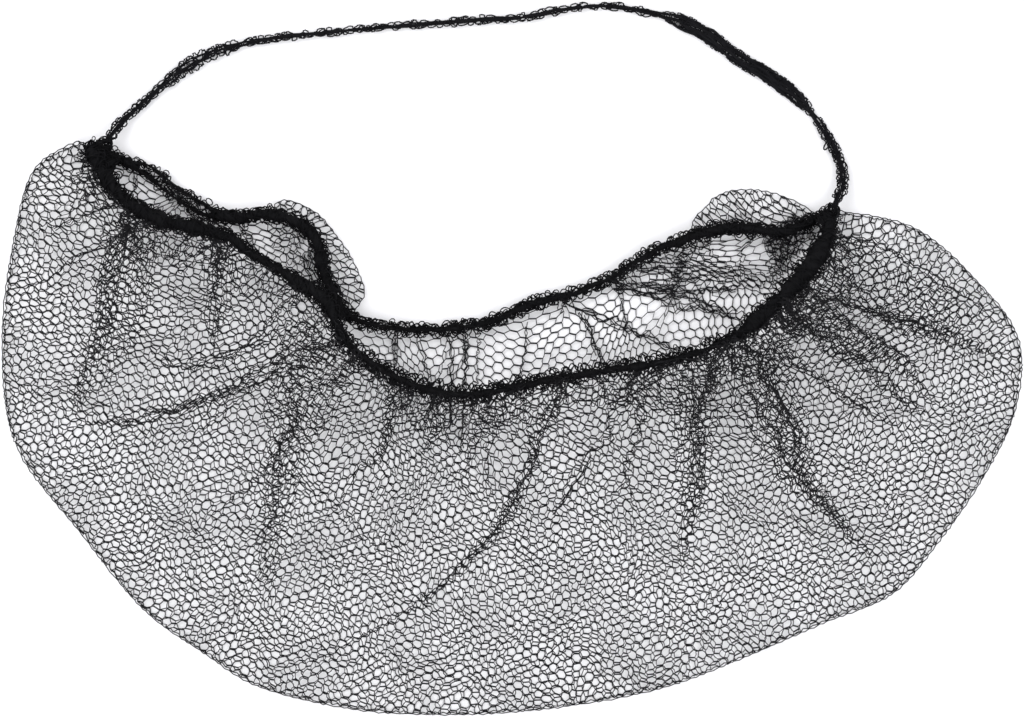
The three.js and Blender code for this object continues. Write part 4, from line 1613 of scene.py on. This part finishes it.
# %% Unevenness
def drift(places, rng, size, length):
    """Smooth chance moves of points, of a size and a wave length in mm."""
    waves = 28
    moved = np.zeros_like(places)
    for _ in range(waves):
        heading = rng.uniform(0, math.tau)
        wave = length * rng.uniform(0.6, 1.8)
        push = rng.normal(0, size * math.sqrt(2 / waves), 3) * (1, 1, 0.6)
        phase = rng.uniform(0, math.tau)
        across = places[..., 0] * math.cos(heading) + places[..., 1] * math.sin(heading)
        moved += np.sin(math.tau * across / wave + phase)[..., None] * push
    return moved


# %% Pulling even
HELD_INSIDE, HELD_AT_EDGE = 0.035, 0.5  # share of its way back that a corner takes in a turn
PULLS_IN, PUSHES_OUT = 0.5, 0.16  # a thread pulls harder than it pushes


def links(whole):
    """Pairs of corners that a thread joins, as indices into the list of corners."""
    index = np.arange(whole.size * 2).reshape(*whole.shape, 2)
    pairs = [np.stack([index[..., 0][whole], index[..., 1][whole]], 1)]
    for down in (-1, 1):
        rows_a = slice(0, -1) if down == 1 else slice(1, None)
        rows_b = slice(1, None) if down == 1 else slice(0, -1)
        both = whole[rows_a, :-1] & whole[rows_b, 1:]
        left = index[rows_a, :-1, 1][both]
        right = index[rows_b, 1:, 0][both]
        pairs.append(np.stack([left, right], 1))
    return np.concatenate(pairs)


def pulled_even(corners, pairs, turns, side):
    """Corners moved until threads are near their length, kept near where they were."""
    places = np.nan_to_num(corners.reshape(-1, 3)).copy()
    wanted = places.copy()
    joins = np.bincount(pairs.ravel(), minlength=len(places)).astype(float)
    share = 1 / np.maximum(joins, 1)
    hold = np.where(joins < 3, HELD_AT_EDGE, HELD_INSIDE)[:, None]
    for _ in range(turns):
        apart = places[pairs[:, 1]] - places[pairs[:, 0]]
        length = np.linalg.norm(apart, axis=1, keepdims=True)
        off = (length - side) / np.maximum(length, 1e-6)
        pull = np.where(off > 0, PULLS_IN * off, PUSHES_OUT * off) * apart
        move = np.zeros_like(places)
        for axis in range(2):
            move[:, axis] += np.bincount(pairs[:, 0], pull[:, axis], len(places))
            move[:, axis] -= np.bincount(pairs[:, 1], pull[:, axis], len(places))
        places += move * share[:, None]
        places += (wanted - places) * hold
    return places.reshape(corners.shape)


print("threads are", round(SIDE, 2), "mm from corner to corner")

# %% [markdown]
# Each row of cells is knitted by one thread that zig-zags along the mouth, and where two
# neighbouring zig-zags meet they run side by side. That gives the honeycomb its thick
# and thin sides. Every zig-zag is a line of corners with a point between them for
# slack. It is cut where it meets the layer's edge, at the fold or inside a rim.

# %% Zig-zag threads
NET_THREAD = 0.3
NET_LOWEST = 0.2
BESIDE = 0.1  # how far a thread lies off the middle of a thick side
BOWED = 0.3  # how much of its slack a thin side shows


def zigzags(sheet, corners, whole, rng):
    """The knitting threads of a sheet as lines of points."""
    found = []
    columns = np.arange(whole.shape[1])
    parity = (sheet.columns[0] + sheet.rows[0]) % 2
    for row in range(whole.shape[0] - 1):
        level = row + (columns + row + parity) % 2
        there = whole[level, columns]
        pair = corners[level, columns]
        middle = pair.mean(axis=1)
        lean = np.zeros_like(middle)
        lean[1:-1] = np.nan_to_num((middle[:-2] + middle[2:]) / 2 - middle[1:-1])
        way = np.nan_to_num(unit(pair[:, 1] - pair[:, 0]))
        lean = lean - way * np.sum(lean * way, -1, keepdims=True)
        pair = pair + (unit(lean) * BESIDE)[:, None]
        breaks = np.flatnonzero(np.diff(np.concatenate([[0], there.astype(int), [0]])))
        for start, end in zip(breaks[::2], breaks[1::2]):
            if end - start < 2:
                continue
            run = pair[start:end]
            gap = run[1:, 0] - run[:-1, 1]
            slack = np.sqrt(np.maximum(sheet.side**2 - np.sum(gap**2, -1), 0)) * BOWED
            bow = unit(np.cross(gap, [0, 0, 1.0]) + rng.normal(0, 0.4, gap.shape) * SIDE)
            turned = rng.choice([-1, 1], len(gap))
            points = np.empty((3 * len(run) - 1, 3))
            points[0::3] = run[:, 0]
            points[1::3] = run[:, 1]
            points[2::3] = (run[:-1, 1] + run[1:, 0]) / 2 + bow * (slack * turned)[:, None]
            found.append(points)
    return found


# %% Cutting at an edge
HALVINGS = 11  # how often the place of a cut is found more closely
SHORTEST = 0.3  # no thread shorter than this is kept


def trimmed(lines, edge):
    """The parts of the lines inside a closed edge, and the places where they were cut."""
    points = np.concatenate(lines)
    kept = inside(points, edge)
    number = np.repeat(np.arange(len(lines)), [len(line) for line in lines])
    change = np.flatnonzero((kept[:-1] != kept[1:]) & (number[:-1] == number[1:]))
    inner = np.where(kept[change, None], points[change], points[change + 1])
    outer = np.where(kept[change, None], points[change + 1], points[change])
    for _ in range(HALVINGS):
        middle = (inner + outer) / 2
        within = inside(middle, edge)[:, None]
        inner, outer = np.where(within, middle, inner), np.where(within, outer, middle)
    cut_at = dict(zip(change.tolist(), inner))
    parts, cuts = [], []
    starts = np.flatnonzero(np.diff(np.concatenate([[-1], number])))
    for first, last in zip(starts, [*starts[1:], len(points)]):
        flags = np.concatenate([[0], kept[first:last].astype(int), [0]])
        turns = np.flatnonzero(np.diff(flags))
        for a, b in zip(turns[::2] + first, turns[1::2] + first):
            part = [points[a:b]]
            if a > first:
                part.insert(0, cut_at[a - 1][None])
                cuts.append(cut_at[a - 1])
            if b < last:
                part.append(cut_at[b - 1][None])
                cuts.append(cut_at[b - 1])
            part = np.concatenate(part)
            if len(part) > 1 and lengths_along(part)[-1] > SHORTEST:
                parts.append(part)
    return parts, np.array(cuts)


# %% [markdown]
# A sheet is knitted in this order: lay the corners out, fold them over at the pleats,
# make them uneven, pull them even, close up the rows that are pushed together, run the
# threads through, and cut them at the layer's edge. Closing the rows comes after the
# pulling, which would only open them again.

# %% Knitting a sheet
def knitted(sheet, warps, unevenness=1.0, cut=True, pulls=30, late=()):
    """The threads of a sheet in place, and the places where they meet its edge."""
    rng = sheet.rng
    corners, whole = sheet.corners(warps)
    flat = np.nan_to_num(corners)
    corners = corners + drift(flat, rng, 0.5 * unevenness, 22)
    corners += drift(flat, rng, 0.34 * unevenness, 9)
    corners += rng.normal(0, 0.15 * unevenness, corners.shape) * (1, 1, 0.5)
    laid = pulled_even(corners, links(whole), pulls, sheet.side)
    laid[..., 2] = corners[..., 2]
    laid = np.where(whole[..., None, None], laid, np.nan)
    places = laid[whole].reshape(-1, 3)
    for warp, *rest in late:
        warp(places, *rest)
    laid[whole] = places.reshape(-1, 2, 3)
    lines = zigzags(sheet, laid, whole, rng)
    cuts = np.zeros((0, 3))
    if cut:
        lines, cuts = trimmed(lines, sheet.edge)
    points = np.concatenate(lines)
    points[:, 2] = np.maximum(points[:, 2] + sheet.height(points), NET_LOWEST)
    ends = np.cumsum([len(line) for line in lines])[:-1]
    cuts[:, 2] = np.maximum(sheet.height(cuts), NET_LOWEST)
    print("knitted", int(whole.sum()), "cells,", len(lines), "threads,", len(points), "points")
    return np.split(points, ends), cuts


def creases(routes, height, rng):
    """Threads that lie side by side along sharp folds and cross each other as they go."""
    made = []
    for route, threads, width in routes:
        line = even_line(flat_line(route, 200), 1.5)
        sideways, _ = frames_along(line)
        third = max(2, len(line) // 3)
        for _ in range(threads):
            first = int(rng.integers(0, third) * rng.uniform(0.2, 1))
            last = len(line) - int(rng.integers(0, third))
            off = wander(rng, len(line), 2.2, width / 2.2) + rng.normal(0, width / 4)
            off[::2] += rng.uniform(0.1, 0.6)
            points = line + sideways * off[:, None]
            points += rng.normal(0, 0.2, points.shape) * (1, 1, 0)
            points = points[first:last]
            points[:, 2] = height(points) + rng.uniform(0.2, 0.9)
            made.append(points)
    return made


# %% Both layers
front_lines, front_cuts = knitted(FRONT_SHEET, WARPS["front"], late=DRAWN_OUT)
hem_lines, _ = knitted(HEM_SHEET, WARPS["hem"], 0.7, cut=False, pulls=4)
back_lines, back_cuts = knitted(BACK_SHEET, WARPS["back"], late=CLOSED_ROWS)
rng = np.random.default_rng(14)
front_lines += hem_lines + creases(FRONT_CREASES, front_height, rng)
back_lines += creases(BACK_CREASES, back_height, rng)
for lines, slack, height, seed, late in (
    (front_lines, FRONT_SLACK, front_height, 60, DRAWN_OUT),
    (back_lines, BACK_SLACK, back_height, 80, CLOSED_ROWS),
):
    for sheet, unevenness in slack_sheets(slack, height, seed):
        lines += knitted(sheet, [], unevenness, cut=False, pulls=8, late=late)[0]


# %% [markdown]
# The fold itself is where the cells of one layer turn over into the other. Seen from
# above they lie on edge there: short arcs of thread from knot to knot along the
# outline, with a second line close inside it.

# %% Turned cells along an edge
NEAR_EDGE = 0.8  # a cut this near to the line belongs to it
KNOTS_APART = 0.7
WIDEST_ARC = 9


def turned_edge(line, outer_cuts, inner_cuts, rng, inset):
    """Arcs along an edge through the cut ends of two layers, and the threads between."""
    run = lengths_along(line)
    out = unit(np.stack([np.gradient(line[:, 1]), -np.gradient(line[:, 0]), 0 * line[:, 0]], -1))

    def knots(cuts):
        """Where along the line the cut ends are, and their places, none too close."""
        far, which = nearest(cuts, line)
        near = far < NEAR_EDGE
        where, order = np.unique(np.round(run[which[near]], 1), return_index=True)
        apart = np.concatenate([[True], np.diff(where) > KNOTS_APART])
        return where[apart], cuts[near][order][apart]

    def arcs(where, at, bulge):
        """A thread from knot to knot that bows out between them."""
        points = []
        for k, knot in enumerate(at):
            points.append(knot)
            if k + 1 < len(at) and 1.2 < where[k + 1] - where[k] < WIDEST_ARC:
                middle = (where[k] + where[k + 1]) / 2
                push = read_off(out, run, middle) * bulge * rng.uniform(0.4, 1.2)
                spot = read_off(line, run, middle) + push
                spot[2] = (knot[2] + at[k + 1][2]) / 2
                points.append(spot)
        return np.array(points)

    where_out, at_out = knots(outer_cuts)
    where_in, at_in = knots(inner_cuts)
    lines = [arcs(where_out, at_out, 0.35), arcs(where_in, at_in, 0.1 - inset)]
    for place, spot in zip(where_out[::2], at_out[::2]):
        k = int(np.argmin(np.abs(where_in - place - rng.uniform(-1, 1))))
        if abs(where_in[k] - place) < 4:
            lines.append(np.stack([spot, (spot + at_in[k]) / 2, at_in[k]]))
    return lines


rng = np.random.default_rng(8)
fold_lines = turned_edge(FOLD_EDGE, front_cuts, back_cuts, rng, 0.7)
print(len(fold_lines), "threads turn over at the fold")

# %% [markdown]
# In two places the back layer stands out behind its rim and comes back to it over
# itself. Each of these lobes is a small sheet more, over the back layer, that ends at
# the rim on one side and turns over along its own outline on the other.

# %% Lobes behind the back rim
lobe_lines = []
for k, (outline, rim) in enumerate(zip(LOBE_LINES, LOBE_RIMS)):
    flap = Sheet(
        (-190, 97), [(0, -9), (420, -9)], np.concatenate([rim, outline[::-1]]),
        flap_height, shift=1.9 + k, seed=40 + k, close=0.9, size=0.94,
    )
    gathers_at_rim = (rim, 4, (0.6, 1.6), (3, 10), 0.4)
    made, cuts = knitted(flap, pleated(flap, [], gathers_at_rim), 1.1)
    lobe_lines += made + turned_edge(outline[::-1], cuts, back_cuts, rng, 0.5)[:1]
print(len(lobe_lines), "threads in the lobes")


# %% The net's pieces
def sides_of(lines):
    """The lines in two lots, left and right of the middle, cut where they cross it."""
    lots = {"left": [], "right": []}
    for line in lines:
        left = line[:, 0] < 0
        turns = np.flatnonzero(left[1:] != left[:-1]) + 1
        for first, last in zip([0, *turns], [*turns, len(line)]):
            part = line[first : min(last + 1, len(line))]
            if len(part) > 1:
                lots["left" if left[first] else "right"].append(part)
    return lots


net_pieces = {}
for layer, lines in (("front", front_lines + fold_lines), ("back", back_lines + lobe_lines)):
    for hand, threads in sides_of(lines).items():
        name = f"net_{layer}_{hand}"
        mesh = grown(
            name, threads, THREAD_SWEEP, {"thickness": [np.ones(len(line)) for line in threads]},
            thread_radius=NET_THREAD / 2 * MM, sides=4, finish=NET_FINISH,
        )
        length = sum(lengths_along(line)[-1] for line in threads)
        net_pieces[joined_piece(name, [mesh], "netting", "net_pouch")] = length

# %% [markdown]
# For each piece of the net, the loop below only names the rim it hangs from, and keeps
# nothing. A net is mostly holes: of a square metre of flat honeycomb, only a third is
# thread.

# %% The rim that each piece of net hangs from
for piece, length in net_pieces.items():
    "front_rim_gathers" if "front" in piece.name else "back_rim_gathers"

# %% [markdown]
# ## Floor and finish
#
# A plain white surface, large enough to fill every view. It lies a hair below the net,
# so the two never share a plane.

# %% Floor
FLOOR_HALF = 4.0
FLOOR_DROP = 0.0001


def white_table(graph):
    """The table's finish: matt white."""
    return {"Base Color": (0.93, 0.93, 0.94, 1), "Roughness": 0.9}


floor_mesh = bpy.data.meshes.new("floor")
CORNERS = ((-1, -1), (1, -1), (1, 1), (-1, 1))
floor_corners = [(x * FLOOR_HALF, y * FLOOR_HALF, 0) for x, y in CORNERS]
floor_mesh.from_pydata(floor_corners, [], [(0, 1, 2, 3)])
floor_mesh.materials.append(finish("white table", white_table))
floor = bpy.data.objects.new("floor", floor_mesh)
bpy.context.scene.collection.objects.link(floor)
floor.location.z = -FLOOR_DROP
print("floor", 2 * FLOOR_HALF, "m across")
